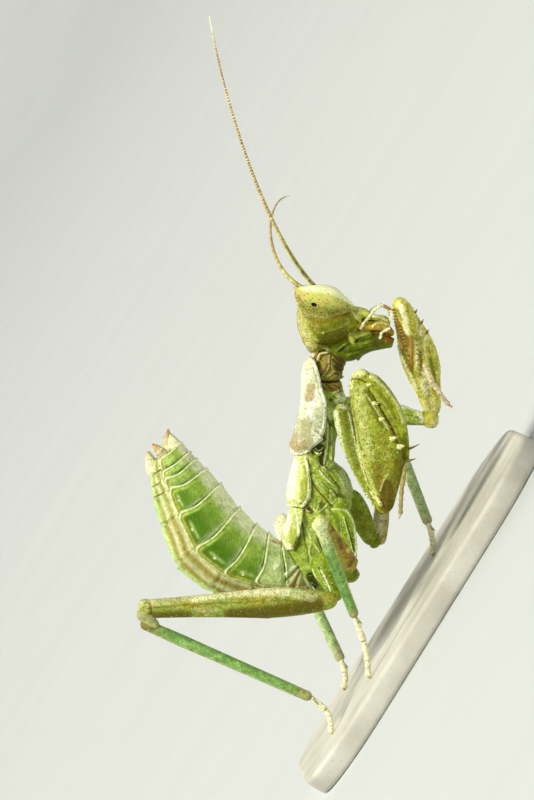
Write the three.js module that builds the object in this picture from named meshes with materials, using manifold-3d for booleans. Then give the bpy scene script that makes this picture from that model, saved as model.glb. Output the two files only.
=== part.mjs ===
// Dwarf mantis, a young female about 20 mm long, standing on a thin display base.
//
// The animal is laid out as it climbs: X runs from its back to its belly, Y to its left side and Z to
// its head. LEAN then tips it forward until its four walking feet stand level on the base. The origin
// of the whole part is the middle of the base's underside. All sizes are in millimetres.

import * as THREE from 'three';
import { mergeVertices } from 'three/addons/utils/BufferGeometryUtils.js';
import Module from 'manifold-3d';

const wasm = await Module();
wasm.setup();

// ---- driving dimensions ----------------------------------------------------------------------------

const LEAN = THREE.MathUtils.degToRad(58); // from climbing straight up to its stance on level ground
const FOOT_LEVEL = -5.18;                  // height of the soles under the layout's origin, once tipped
const JOINT_GAP = 0.02;                    // air between neighbouring pieces

const BASE = { length: 17, width: 15, thickness: 1, corner: 4, edge: 0.15, ahead: 0.9, left: -0.6 };

const HEAD = { x: 0.62, z: 8.42, tilt: THREE.MathUtils.degToRad(16) };

const FEELER = 0.25; // half-thickness of an antenna
const PALP = 0.21;
const CLAW = 0.14;

const COLOR = {
  eye: 0xc9c79a, face: 0xa9ad5a, mouth: 0x8fa548, palp: 0xc9b98a, feeler: 0xb08d4c, neck: 0xa7a878,
  shield: 0xc9cf94, chest: 0xb9c47e, wingPad: 0xa9bd5c, belly: 0x7fa83c, tail: 0xb58a4a,
  foreleg: 0xb2b765, leg: 0xa9a057, shin: 0x9cb06a, base: 0xd9d8d2,
};

// ---- making closed skins ---------------------------------------------------------------------------

// The skin of a run of cross-sections, from a capped cylinder whose rings are moved to their places.
// ringAt(t) gives a ring's centre and its two half-axes for t from 0 to 1.
function skin(ringAt, sides, steps) {
  const geometry = new THREE.CylinderGeometry(1, 1, 1, sides, steps);
  const place = geometry.attributes.position;
  for (let i = 0; i < place.count; i++) {
    const ring = ringAt(place.getY(i) + 0.5);
    const point = ring.center.clone();
    point.addScaledVector(ring.deep, place.getX(i) * (place.getX(i) > 0 ? ring.flat : 1));
    point.addScaledVector(ring.wide, place.getZ(i));
    place.setXYZ(i, point.x, point.y, point.z);
  }
  return geometry;
}

const across = new THREE.Vector3(0, 1, 0);

function vector(list) {
  return new THREE.Vector3(...list);
}

// A number read off an evenly spaced profile, smoothly, at t from 0 to 1.
function along(profile, t) {
  const curve = new THREE.CatmullRomCurve3(profile.map((value, i) => new THREE.Vector3(value, i, 0)));
  return curve.getPoint(t).x;
}

// One length of a limb: from, to, how far its middle bows aside, and its half-thickness profile.
// wide is the half-width as a share of deep, and side is the direction that the width is taken in.
function limb({ from, to, bow = [0, 0, 0], deep, wide = 0.85, side = across, sides = 8, steps = 1 }) {
  const start = vector(from);
  const end = vector(to);
  const middle = start.clone().lerp(end, 0.5).addScaledVector(vector(bow), 2);
  const line = new THREE.QuadraticBezierCurve3(start, middle, end);
  return (grow) => skin((t) => {
    const tangent = line.getTangent(t);
    const center = line.getPoint(t).addScaledVector(tangent, grow * (t === 0 ? -1 : t === 1 ? 1 : 0));
    const wideAxis = side.clone().addScaledVector(tangent, -side.dot(tangent)).normalize();
    const deepAxis = tangent.clone().cross(wideAxis);
    const half = along(deep, t);
    return { center, deep: deepAxis.multiplyScalar(half + grow),
      wide: wideAxis.multiplyScalar(half * wide + grow), flat: 1 };
  }, sides, steps * (deep.length - 1));
}

// A stretch of the trunk. Each rib is [back x, back z, belly x, belly z, half-width], and flat is how
// full the belly side is, from 0, cut off straight, to 1, as round as the back.
function trunk(ribs, { flat = 1, sides = 12, steps = 1 } = {}) {
  const back = new THREE.CatmullRomCurve3(ribs.map(([x, z]) => new THREE.Vector3(x, 0, z)));
  const belly = new THREE.CatmullRomCurve3(ribs.map(([, , x, z]) => new THREE.Vector3(x, 0, z)));
  const middle = new THREE.LineCurve3(
    back.getPoint(0).lerp(belly.getPoint(0), 0.5), back.getPoint(1).lerp(belly.getPoint(1), 0.5));
  const halves = ribs.map((rib) => rib[4]);
  return (grow) => skin((t) => {
    const deep = belly.getPoint(t).sub(back.getPoint(t)).divideScalar(1 + flat);
    const center = back.getPoint(t).add(deep);
    const outward = grow * (t === 0 ? -1 : t === 1 ? 1 : 0);
    center.addScaledVector(middle.getTangent(t), outward);
    deep.setLength(deep.length() + grow);
    return { center, deep, wide: across.clone().multiplyScalar(along(halves, t) + grow), flat };
  }, sides, steps * (ribs.length - 1));
}

// A cone for a spine, spur or claw, from its root to its point.
function spine(root, point, thick = CLAW) {
  return limb({ from: root, to: point, deep: [thick, 0.02], wide: 1, sides: 4, steps: 1 });
}

// ---- solids: joined, carved clear of their neighbours, and kept as one body --------------------------

function solidOf(geometry) {
  geometry.deleteAttribute('normal');
  geometry.deleteAttribute('uv');
  const merged = mergeVertices(geometry);
  const place = merged.attributes.position;
  const corners = merged.index.array;
  const [a, b, c] = [0, 1, 2].map(() => new THREE.Vector3());
  let volume = 0;
  for (let i = 0; i < corners.length; i += 3) {
    [a, b, c].forEach((corner, k) => corner.fromBufferAttribute(place, corners[i + k]));
    volume += a.dot(b.cross(c));
  }
  const triVerts = Uint32Array.from(corners);
  if (volume < 0) triVerts.reverse();
  return new wasm.Manifold(new wasm.Mesh({ numProp: 3, vertProperties: place.array, triVerts }));
}

const lean = new THREE.Matrix4().makeRotationY(LEAN);
const ground = solidOf(new THREE.BoxGeometry(60, 60, 10)
  .translate(0, 0, FOOT_LEVEL - 5).applyMatrix4(lean.clone().invert()));

const animal = new THREE.Group();
const taken = []; // the room, with its gap of air, that the pieces placed so far take up

// Joins the shapes of one piece, carves it clear of every piece placed before it, and adds its mesh.
function place(name, color, shapes, { matrix = null, onGround = false } = {}) {
  const sized = (grow) => shapes
    .map((shape) => solidOf(matrix ? shape(grow).applyMatrix4(matrix) : shape(grow)))
    .reduce((whole, more) => whole.add(more));
  let solid = sized(0);
  for (const room of taken) solid = solid.subtract(room);
  if (onGround) solid = solid.subtract(ground);
  const bodies = solid.decompose().sort((p, q) => q.volume() - p.volume());
  taken.push(sized(JOINT_GAP));
  const { vertProperties, triVerts, numProp } = bodies[0].getMesh();
  const geometry = new THREE.BufferGeometry();
  const spots = Array.from({ length: vertProperties.length / numProp },
    (_, i) => [0, 1, 2].map((k) => vertProperties[i * numProp + k])).flat();
  geometry.setAttribute('position', new THREE.BufferAttribute(new Float32Array(spots), 3));
  geometry.setIndex(new THREE.BufferAttribute(Uint32Array.from(triVerts), 1));
  const finish = new THREE.MeshStandardMaterial({ color, roughness: 0.5, metalness: 0 });
  const mesh = new THREE.Mesh(geometry, finish);
  mesh.name = name;
  animal.add(mesh);
}

// ---- head ------------------------------------------------------------------------------------------

// The head is laid out level, its mouth along +X, and then tilted on the neck. Each of its slices is
// [x, top z, bottom z, half-width].
const headPlace = new THREE.Matrix4().makeRotationY(HEAD.tilt).setPosition(HEAD.x, 0, HEAD.z);

function slices(rows, options) {
  return trunk(rows.map(([x, top, bottom, half]) => [x, top, x, bottom, half]), options);
}

// A slice of an eye is [x, z, half-height, y, half-width]: a blunt cone that leans up and outward.
const EYE = [
  [-1.83, 0.77, 0.03, 1.58, 0.03], [-1.62, 0.56, 0.32, 1.53, 0.23], [-1.2, 0.34, 0.76, 1.35, 0.46],
  [-0.75, 0.4, 0.83, 1.21, 0.58], [-0.17, 0.53, 0.74, 1.12, 0.58], [0.3, 0.62, 0.44, 1.02, 0.42],
  [0.79, 0.69, 0.1, 0.88, 0.08],
];

function eye(hand) {
  const middle = new THREE.CatmullRomCurve3(EYE.map(([x, z, , y]) => new THREE.Vector3(x, y * hand, z)));
  const tall = EYE.map((row) => row[2]);
  const broad = EYE.map((row) => row[4]);
  return (grow) => skin((t) => ({
    center: middle.getPoint(t), flat: 1,
    deep: new THREE.Vector3(0, 0, along(tall, t) + grow),
    wide: new THREE.Vector3(0, along(broad, t) + grow, 0),
  }), 12, 1.5 * (EYE.length - 1));
}

const onHead = { matrix: headPlace };
place('eye_right', COLOR.eye, [eye(-1)], onHead);
place('eye_left', COLOR.eye, [eye(1)], onHead);

place('head_capsule', COLOR.face, [slices([
  [-1.29, 0.25, -0.33, 0.5], [-1.12, 0.58, -0.83, 1.0], [-0.75, 0.79, -1.33, 1.33],
  [-0.33, 0.92, -1.62, 1.5], [0.17, 0.92, -1.3, 1.42], [0.58, 0.79, -0.95, 1.21],
  [1.0, 0.74, -0.4, 0.92], [1.25, 0.68, 0.1, 0.74],
], { sides: 11 })], onHead);

place('labrum', COLOR.face, [slices([
  [1.1, 0.76, 0.3, 0.7], [1.5, 0.75, 0.36, 0.64], [1.75, 0.66, 0.38, 0.6], [2.05, 0.71, 0.4, 0.52],
  [2.3, 0.65, 0.36, 0.36], [2.46, 0.5, 0.34, 0.14],
], { sides: 10 })], onHead);

place('mandibles', COLOR.mouth, [slices([
  [1.0, 0.3, -0.3, 0.76], [1.5, 0.36, -0.2, 0.7], [2.1, 0.42, -0.12, 0.58], [2.5, 0.34, -0.08, 0.4],
  [2.72, 0.18, -0.02, 0.16],
], { sides: 10 })], onHead);

// the jaws under the mandibles, with the short lower palps that grow from them
place('lower_jaws', COLOR.mouth, [
  slices([
    [0.2, -0.7, -1.66, 0.7], [0.9, -0.1, -1.62, 0.78], [1.4, -0.04, -1.45, 0.7],
    [1.95, -0.02, -0.96, 0.57], [2.4, 0, -0.68, 0.42], [2.8, -0.08, -0.5, 0.22],
  ], { sides: 9 }),
  ...[-1, 1].map((hand) => limb({
    from: [1.9, 0.4 * hand, -0.85], to: [2.85, 0.62 * hand, -0.62], bow: [0, 0.08 * hand, -0.14],
    deep: [0.18, 0.18, 0.16, 0.1], wide: 1, sides: 6, steps: 1,
  })),
], onHead);

for (const [name, hand] of [['palp_right', -1], ['palp_left', 1]]) {
  place(name, COLOR.palp, [limb({
    from: [1.35, 0.72 * hand, -0.35], to: [2.55, 0.95 * hand, 0.75], bow: [-0.2, 0.1 * hand, 0.1],
    deep: [PALP, PALP, PALP, 0.18, 0.1], wide: 1, sides: 6, steps: 1,
  })], onHead);
}

// ---- antennae --------------------------------------------------------------------------------------

// Each antenna sweeps along one curve from its socket between the eyes.
const ANTENNAE = {
  antenna_right: [[0.35, -0.42, 9.45], [-1.75, -1, 11], [-3.75, -0.85, 16.9], [-4.42, -0.83, 20.9]],
  antenna_left: [[0.35, 0.42, 9.45], [-2.3, 0.9, 9.75], [-2, 5.8, 13.5], [-0.55, 11, 13.4]],
};

for (const [name, bends] of Object.entries(ANTENNAE)) {
  const line = new THREE.CubicBezierCurve3(...bends.map(vector));
  const side = new THREE.Vector3(1, 0, 0);
  place(name, COLOR.feeler, [(grow) => skin((t) => {
    const tangent = line.getTangent(t);
    const wide = side.clone().addScaledVector(tangent, -side.dot(tangent)).normalize();
    const half = FEELER * (t === 1 ? 0.5 : 1) + grow;
    return { center: line.getPoint(t), deep: tangent.clone().cross(wide).multiplyScalar(half),
      wide: wide.multiplyScalar(half), flat: 1 };
  }, 5, 17)]);
}

// ---- thorax ----------------------------------------------------------------------------------------

// the saddle-shaped shield over the first part of the thorax
place('pronotum', COLOR.shield, [trunk([
  [-0.2, 6.82, -0.1, 6.82, 0.2], [-0.42, 6.6, -0.02, 6.58, 0.62], [-0.56, 6.2, 0.12, 6.15, 0.85],
  [-0.59, 5.6, 0.25, 5.55, 0.98], [-0.6, 5, 0.44, 5, 1.18], [-0.68, 4.4, 0.44, 4.4, 1.13],
  [-0.83, 3.85, 0.4, 3.88, 1.05], [-0.99, 3.35, 0.22, 3.38, 1], [-1.06, 3.05, -0.1, 3.08, 0.84],
  [-0.92, 2.8, -0.42, 2.8, 0.48], [-0.78, 2.7, -0.68, 2.7, 0.16],
], { flat: 0.12, sides: 13 })]);

// the two pairs of short wing pads, each pair one plate across the back
place('wing_pads_front', COLOR.wingPad, [trunk([
  [-0.82, 2.66, -0.3, 2.66, 0.62], [-0.98, 2.1, -0.28, 2.1, 1.08], [-1.12, 1.5, -0.22, 1.5, 1.28],
  [-1.18, 1, -0.26, 1, 1.36], [-1.14, 0.62, -0.5, 0.6, 1.22],
], { flat: 0.15 })]);
place('wing_pads_hind', COLOR.wingPad, [trunk([
  [-1.02, 0.52, -0.5, 0.5, 1.1], [-1.18, 0, -0.55, 0, 1.34], [-1.36, -0.55, -0.7, -0.55, 1.4],
  [-1.42, -0.95, -0.85, -0.95, 1.34], [-1.32, -1.22, -1, -1.2, 1.1],
], { flat: 0.15 })]);

place('prothorax', COLOR.chest, [trunk([
  [-0.3, 5.45, 1.18, 5.3, 0.7], [-0.33, 4.9, 1.28, 4.75, 0.82], [-0.38, 4.4, 1.1, 4, 0.74],
  [-0.5, 3.65, 0.88, 3.33, 0.54], [-0.62, 3.1, 0.83, 2.7, 0.5], [-0.67, 2.72, 0.8, 2.5, 0.54],
], { sides: 10 })]);
place('neck', COLOR.neck, [trunk([
  [-0.12, 7.3, 1.35, 7.35, 0.62], [-0.08, 6.9, 1.4, 6.85, 0.62], [0, 6.4, 1.2, 6.3, 0.56],
  [0.05, 5.85, 1.12, 5.75, 0.54], [0.1, 5.15, 1.25, 5.15, 0.6],
], { sides: 9 })]);
place('mesothorax', COLOR.chest, [trunk([
  [-0.75, 2.68, 0.8, 2.46, 0.74], [-0.92, 2.1, 1.33, 1.9, 1.02], [-1.04, 1.45, 1.54, 1.33, 1.18],
  [-1.08, 0.95, 1.54, 0.7, 1.24], [-0.96, 0.5, 1.46, 0.17, 1.24],
])]);
place('metathorax', COLOR.chest, [trunk([
  [-0.96, 0.5, 1.46, 0.17, 1.24], [-1.08, 0, 1.38, -0.42, 1.24], [-1.25, -0.55, 1.12, -1.25, 1.24],
  [-1.33, -1.05, 0.75, -2.3, 1.16], [-1.25, -1.5, 0.3, -3.25, 1],
])]);

// ---- abdomen ---------------------------------------------------------------------------------------

// The ribs are the rear edges of its rings. It curls up over the back, and each ring starts a little
// narrower than it ends, so its rear edge laps over the next one.
const ABDOMEN = [
  [-1.3, -0.95, 0.1, -3.5, 1.05], [-1.42, -0.92, -1.2, -3.6, 1.3], [-1.95, -0.55, -2.7, -3.6, 1.52],
  [-2.48, -0.18, -4.4, -3.15, 1.7], [-3.2, 0.53, -5.85, -2.05, 1.75], [-3.98, 1.53, -6.5, -0.38, 1.6],
  [-4.58, 2.16, -6.82, 0.85, 1.32], [-5, 2.57, -6.88, 1.27, 1.1], [-5.25, 2.86, -6.93, 1.75, 0.88],
  [-5.62, 3.25, -6.93, 2.32, 0.62],
];
const RING_LAP = 0.95;

function narrowed([backX, backZ, bellyX, bellyZ, half], share) {
  const [middleX, middleZ] = [(backX + bellyX) / 2, (backZ + bellyZ) / 2];
  return [middleX + (backX - middleX) * share, middleZ + (backZ - middleZ) * share,
    middleX + (bellyX - middleX) * share, middleZ + (bellyZ - middleZ) * share, half * share];
}

for (let ring = 1; ring < ABDOMEN.length; ring++) {
  const [front, rear] = [ABDOMEN[ring - 1], ABDOMEN[ring]];
  const swell = front.map((value, k) => (value + rear[k]) / 2);
  place(`abdomen_${ring}`, COLOR.belly, [trunk([narrowed(front, RING_LAP), swell, rear],
    { sides: 12 })]);
}

place('anal_plate', COLOR.tail, [limb({
  from: [-5.7, 0, 2.75], to: [-6.05, 0, 3.62], deep: [0.36, 0.33, 0.22, 0.06], wide: 1.3, sides: 8,
})]);
place('keel_plate', COLOR.tail, [limb({
  from: [-6.6, 0, 1.8], to: [-6.95, 0, 2.88], deep: [0.26, 0.3, 0.22, 0.06], wide: 1.3, sides: 8,
})]);
for (const [name, hand, point] of [['cercus_right', -1, [-6.8, -0.55, 3.2]],
  ['cercus_left', 1, [-6.1, 0.55, 3.8]]]) {
  place(name, COLOR.tail, [limb({
    from: [-6.1, 0.4 * hand, 2.55], to: point, deep: [0.2, 0.27, 0.25, 0.2, 0.04], wide: 1, sides: 8,
  })]);
}

// ---- grasping forelegs -----------------------------------------------------------------------------

const FORE_COXA = [0.25, 0.42, 0.46, 0.46, 0.42, 0.32, 0.17];
const FORE_TARSUS = [0.25, 0.26, 0.25, 0.26, 0.25, 0.12];

// Where each foreleg's joints are. The left one reaches up in front of the mouth, half closed.
const FORELEGS = {
  right: {
    hip: [0.95, -1, 4.85], trochanter: [2.65, -1.8, 0.5], femurBow: [0.45, 0, 0.03],
    femur: [0.3, 0.55, 0.8, 0.95, 0.97, 0.93, 0.86, 0.68, 0.46], femurTop: [2.74, -2.15, 0.35],
    knee: [1.65, -2.35, 6.18], shin: [2, -2.36, 5.98], tibia: [0.34, 0.44, 0.46, 0.42, 0.33, 0.26],
    claw: [3.62, -2.2, 2.65], clawPoint: [3.1, -1.95, 1.7], tibiaBow: [0.36, 0, 0.08],
    wrist: [3.62, -2.55, 2.3], toe: [3.35, -2.7, 0.05], tarsusBow: [-0.1, 0, 0], outside: -1,
  },
  left: {
    hip: [1, 1, 4.8], trochanter: [4.9, 1.95, 4.05], femurBow: [0.17, 0, 0],
    femur: [0.25, 0.44, 0.56, 0.73, 0.79, 0.72, 0.58, 0.44, 0.25], femurTop: [5.08, 1.95, 4.25],
    knee: [3.4, -0.25, 9.25], shin: [3.4, -0.7, 9.15], tibia: [0.2, 0.3, 0.34, 0.33, 0.28, 0.16],
    claw: [4.08, 0.15, 6.7], clawPoint: [4.12, 0.4, 6.05], tibiaBow: [0.2, 0, 0],
    wrist: [4.3, -0.05, 6.7], toe: [5.65, 0.6, 4.65], tarsusBow: [0.05, 0, 0.1], outside: 1,
  },
};

// Spines stand in a row between two points, leaning towards the foot.
function spineRow(first, last, count, lean3, thick) {
  return Array.from({ length: count }, (_, i) => {
    const root = vector(first).lerp(vector(last), i / (count - 1));
    return spine(root.toArray(), root.clone().add(vector(lean3)).toArray(), thick);
  });
}

for (const [hand, leg] of Object.entries(FORELEGS)) {
  place(`fore_coxa_${hand}`, COLOR.foreleg,
    [limb({ from: leg.hip, to: leg.trochanter, deep: FORE_COXA, bow: [-0.08, 0, 0.05] })]);
  const rows = hand === 'right'
    ? spineRow([2.3, -2.7, 5.2], [3.2, -2.7, 3.2], 3, [0.5, -0.3, -0.45], 0.1)
    : [...spineRow([4.1, -0.2, 8.2], [4.75, 0.7, 6.4], 4, [0.4, -0.5, -0.35], 0.1)];
  place(`fore_tibia_${hand}`, COLOR.foreleg, [
    limb({ from: leg.shin, to: leg.claw, deep: leg.tibia, bow: leg.tibiaBow }),
    spine(leg.claw, leg.clawPoint, 0.16),
  ]);
  place(`fore_tarsus_${hand}`, COLOR.shin, [limb({
    from: leg.wrist, to: leg.toe, bow: leg.tarsusBow, deep: FORE_TARSUS, wide: 1, sides: 6,
  })]);
  place(`fore_femur_${hand}`, COLOR.foreleg, [
    limb({ from: leg.femurTop, to: leg.knee, bow: leg.femurBow, deep: leg.femur, wide: 0.58, sides: 10 }),
    ...rows,
  ]);
}

// ---- walking legs ----------------------------------------------------------------------------------

const WALK_COXA = [0.3, 0.44, 0.46, 0.38, 0.24];
const MIDDLE_FEMUR = [0.25, 0.33, 0.31, 0.28, 0.26, 0.27, 0.2];
const HIND_FEMUR = [0.28, 0.48, 0.6, 0.65, 0.6, 0.53, 0.48, 0.43, 0.4, 0.34];
const SHIN = [0.22, 0.27, 0.26, 0.25, 0.25, 0.25];
const FOOT = [0.25, 0.26, 0.25, 0.26, 0.25, 0.22];

// Where each walking leg's joints are: hip, the end of the coxa, the top of the femur, the knee, the
// top and end of the tibia, and the toe.
const WALKING_LEGS = {
  middle_right: {
    femur: MIDDLE_FEMUR, hip: [0.85, -0.85, 1], trochanter: [1.45, -1.4, -1.7],
    femurTop: [1.45, -1.6, -1.92], knee: [-0.2, -6.35, 0.35], femurBow: [0.18, 0, -0.13],
    shin: [-0.15, -6.45, 0.1], ankle: [1.45, -4.3, -3.85], toe: [1.93, -3.95, -6.25],
    footBow: [0.13, 0, 0.02],
  },
  middle_left: {
    femur: MIDDLE_FEMUR, hip: [1.45, 0.95, 1.2], trochanter: [2.5, 1.45, -1.1],
    femurTop: [2.78, 1.6, -1.1], knee: [3.3, 4.6, 3.6], femurBow: [0, 0, 0],
    shin: [3.55, 4.65, 3.45], ankle: [4.9, 2.5, -0.3], toe: [4.98, 2.45, -1.5],
    footBow: [0.08, 0, 0.02],
  },
  hind_right: {
    femur: HIND_FEMUR, hip: [0, -0.85, -1.15], trochanter: [0.8, -1.45, -3.05],
    femurTop: [0.85, -1.7, -3.28], knee: [-7.42, -2.42, -3.6], femurBow: [0, 0, 0.02],
    shin: [-7.35, -2.42, -4.15], ankle: [-0.25, -2.2, -7.3], toe: [0.47, -2.2, -8.68],
    footBow: [0.26, 0, 0.1],
  },
  hind_left: {
    femur: HIND_FEMUR, hip: [0.35, 0.9, -1.05], trochanter: [1.6, 1.4, -2.4],
    femurTop: [1.75, 1.6, -2.5], knee: [-1.05, 9.1, -0.45], femurBow: [0, 0, -0.1],
    shin: [-1, 9.05, -0.95], ankle: [1.35, 4.6, -6.15], toe: [1.35, 4.4, -7.22],
    footBow: [0.12, 0, 0],
  },
};

for (const [name, leg] of Object.entries(WALKING_LEGS)) {
  // the width of a femur that points sideways is taken along the body instead
  const side = Math.abs(leg.knee[1] - leg.hip[1]) > 4 ? new THREE.Vector3(0.5, 0, -0.85) : across;
  place(`${name}_coxa`, COLOR.chest, [limb({ from: leg.hip, to: leg.trochanter, deep: WALK_COXA })]);
  place(`${name}_femur`, COLOR.leg,
    [limb({ from: leg.femurTop, to: leg.knee, bow: leg.femurBow, deep: leg.femur, wide: 0.8, side })]);
  const spurs = [-1, 1].map((turn) => spine(leg.ankle,
    [leg.ankle[0] + 0.28, leg.ankle[1] + 0.28 * turn, leg.ankle[2] - 0.35], 0.1));
  place(`${name}_tibia`, COLOR.shin,
    [limb({ from: leg.shin, to: leg.ankle, deep: SHIN, wide: 1, side }), ...spurs]);
  place(`${name}_tarsus`, COLOR.shin, [limb({
    from: leg.ankle, to: leg.toe, bow: leg.footBow, deep: FOOT, wide: 1, sides: 6,
  })], { onGround: true });
}

// ---- base ------------------------------------------------------------------------------------------

function roundedRectangle(length, width, corner) {
  const shape = new THREE.Shape();
  const [x, y] = [length / 2 - corner, width / 2 - corner];
  shape.absarc(x, y, corner, 0, Math.PI / 2);
  shape.absarc(-x, y, corner, Math.PI / 2, Math.PI);
  shape.absarc(-x, -y, corner, Math.PI, Math.PI * 1.5);
  shape.absarc(x, -y, corner, Math.PI * 1.5, Math.PI * 2);
  return shape;
}

const plate = new THREE.ExtrudeGeometry(
  roundedRectangle(BASE.length - 2 * BASE.edge, BASE.width - 2 * BASE.edge, BASE.corner - BASE.edge),
  { depth: BASE.thickness - 2 * BASE.edge, bevelSize: BASE.edge, bevelThickness: BASE.edge,
    bevelSegments: 1, curveSegments: 3 },
).translate(0, 0, BASE.edge);

const base = new THREE.Mesh(mergeVertices(plate.deleteAttribute('uv').deleteAttribute('normal')),
  new THREE.MeshStandardMaterial({ color: COLOR.base, roughness: 0.6, metalness: 0 }));
base.name = 'stand_base';

animal.rotation.y = LEAN;
animal.position.set(BASE.ahead, BASE.left, BASE.thickness + JOINT_GAP - FOOT_LEVEL);

const model = new THREE.Group();
model.add(animal, base);

export default model;
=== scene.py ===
import math
import random

import bmesh
import bpy
from mathutils import Matrix, Vector
from mathutils.bvhtree import BVHTree


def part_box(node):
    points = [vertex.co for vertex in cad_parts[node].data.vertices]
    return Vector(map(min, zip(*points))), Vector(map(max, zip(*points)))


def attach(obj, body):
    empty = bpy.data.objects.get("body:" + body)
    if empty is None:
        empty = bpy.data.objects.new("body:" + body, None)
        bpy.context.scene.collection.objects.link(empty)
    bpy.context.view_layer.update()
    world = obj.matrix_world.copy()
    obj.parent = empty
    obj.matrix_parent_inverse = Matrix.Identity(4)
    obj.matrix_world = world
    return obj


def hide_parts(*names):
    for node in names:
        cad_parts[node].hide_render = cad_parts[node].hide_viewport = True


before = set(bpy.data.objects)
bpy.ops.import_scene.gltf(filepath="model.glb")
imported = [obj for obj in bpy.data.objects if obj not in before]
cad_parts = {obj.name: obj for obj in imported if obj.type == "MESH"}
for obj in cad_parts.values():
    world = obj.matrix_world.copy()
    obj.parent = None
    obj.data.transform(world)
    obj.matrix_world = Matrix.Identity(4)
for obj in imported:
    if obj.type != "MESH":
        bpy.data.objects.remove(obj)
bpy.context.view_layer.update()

# ---- display base ----------------------------------------------------------------------------------
# A thin plate of cast stone resin with rounded corners, on which the four walking feet stand.
# It is cast flat, its edges are eased, and it is sealed with a matt coat.


class Wire:
    """A socket in a finish's node tree, so that shading is written as ordinary sums."""

    def __init__(self, socket):
        self.socket = socket

    def node(self, kind, settings=None, sockets=None, out=0):
        made = self.socket.id_data.nodes.new(kind)
        for name, value in (settings or {}).items():
            setattr(made, name, value)
        for name, value in (sockets or {}).items():
            if isinstance(value, Wire):
                made.id_data.links.new(value.socket, made.inputs[name])
            else:
                made.inputs[name].default_value = value
        return Wire(made.outputs[out])

    def math(self, operation, *values):
        return self.node("ShaderNodeMath", {"operation": operation}, dict(enumerate(values)))

    def __add__(self, other):
        return self.math("ADD", self, other)

    def __sub__(self, other):
        return self.math("SUBTRACT", self, other)

    def __rsub__(self, other):
        return self.math("SUBTRACT", other, self)

    def __mul__(self, other):
        return self.math("MULTIPLY", self, other)

    __radd__ = __add__
    __rmul__ = __mul__

    def step(self, low, high):
        return self.node("ShaderNodeMapRange", {"interpolation_type": "SMOOTHSTEP"},
                         {"Value": self, "From Min": low, "From Max": high})

    def noise(self, scale, detail=2):
        return self.node("ShaderNodeTexNoise", {}, {"Vector": self, "Scale": scale, "Detail": detail})

    def cells(self, scale, out=0):
        return self.node("ShaderNodeTexVoronoi", {}, {"Vector": self, "Scale": scale}, out)

    def mix(self, first, second, share):
        return self.node("ShaderNodeMix", {"data_type": "RGBA"}, {0: share, 6: first, 7: second}, 2)

    def bright(self, factor):
        return self.node("ShaderNodeVectorMath", {"operation": "SCALE"}, {0: self, 3: factor})


def tone(code):
    """A paint colour, from its hex code to the linear light that a finish takes."""
    parts = [int(code[i:i + 2], 16) / 255 for i in (0, 2, 4)]
    return [p / 12.92 if p < 0.04045 else ((p + 0.055) / 1.055) ** 2.4 for p in parts] + [1]


def open_finish(name, wax=0):
    """A new finish, the shader that it feeds, and the place on the object in millimetres."""
    finish = bpy.data.materials.new(name)
    finish.use_nodes = True
    shader = finish.node_tree.nodes["Principled BSDF"]
    shader.inputs["Subsurface Weight"].default_value = wax
    shader.inputs["Subsurface Radius"].default_value = (1, 0.9, 0.35)
    shader.inputs["Subsurface Scale"].default_value = 0.00025
    place = Wire(finish.node_tree.nodes.new("ShaderNodeTexCoord").outputs["Object"])
    return finish, shader, place.bright(1000)


def close_finish(shader, colour, rough, height):
    """Joins colour, roughness and height, in millimetres, to the shader."""
    links = shader.id_data.links
    links.new(colour.socket, shader.inputs["Base Color"])
    links.new(rough.socket, shader.inputs["Roughness"])
    bump = height.node("ShaderNodeBump", {}, {"Distance": 0.001, "Height": height})
    links.new(bump.socket, shader.inputs["Normal"])


def piece(name, shape, finish, slot, *stands_for):
    """Makes a finished shape an object of the model, in the place of its plain solids."""
    mesh = bpy.data.meshes.new(name)
    shape.to_mesh(mesh)
    shape.free()
    mesh.shade_smooth()
    mesh.materials.append(finish)
    made = bpy.data.objects.new(name, mesh)
    bpy.context.scene.collection.objects.link(made)
    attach(made, "root")
    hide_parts(*stands_for)
    return made


resin, shader, mm = open_finish("stone resin")
chips = mm.cells(7)
cloud = mm.noise(0.5, 4)
colour = mm.mix(tone("cfccc2"), tone("bdb9ad"), cloud.step(0.35, 0.65))
colour = mm.mix(colour, tone("8f8a80"), (1 - chips.step(0.08, 0.2)) * mm.noise(2.3).step(0.5, 0.6))
close_finish(shader, colour, 0.55 + cloud * 0.2, mm.noise(30, 3) * 0.004 - chips * 0.003)

(x0, y0, z0), (x1, y1, z1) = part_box("stand_base")
CORNER, EDGE = 0.004, 0.00022
plate = bmesh.new()
bmesh.ops.create_cube(plate, size=1,
                      matrix=Matrix.Translation(((x0 + x1) / 2, (y0 + y1) / 2, (z0 + z1) / 2))
                      @ Matrix.Diagonal((x1 - x0, y1 - y0, z1 - z0, 1)))
upright = [e for e in plate.edges if abs(e.verts[0].co.z - e.verts[1].co.z) > 1e-5]
bmesh.ops.bevel(plate, geom=upright, offset=CORNER, affect="EDGES", segments=16, profile=0.5, material=-1)
rims = [e for e in plate.edges if abs(e.verts[0].co.z - e.verts[1].co.z) < 1e-6
        and any(len(f.verts) > 4 for f in e.link_faces)]
bmesh.ops.bevel(plate, geom=rims, offset=EDGE, affect="EDGES", segments=4, profile=0.5, material=-1)
base = piece("display_base", plate, resin, "base", "stand_base")
for face in base.data.polygons:
    face.use_smooth = len(face.vertices) == 4

# ---- chest: prothorax, mesothorax and metathorax -----------------------------------------------------
# One hard green cuticle over the middle of the body, pressed into side plates by its sutures.
# It carries the wing pads on its back and the sockets of all six legs below.

LEAN = math.radians(58)
STANCE = (Matrix.Translation((0.0009, -0.0006, 0.0062)) @ Matrix.Rotation(LEAN, 4, "Y")
          @ Matrix.Scale(0.001, 4))
MARKS = ("pale", "dark", "warm")  # how far a spot is painted towards each of a finish's three marks
PLAIN, PALE = (0, 0, 0), (1, 0, 0)


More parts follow.
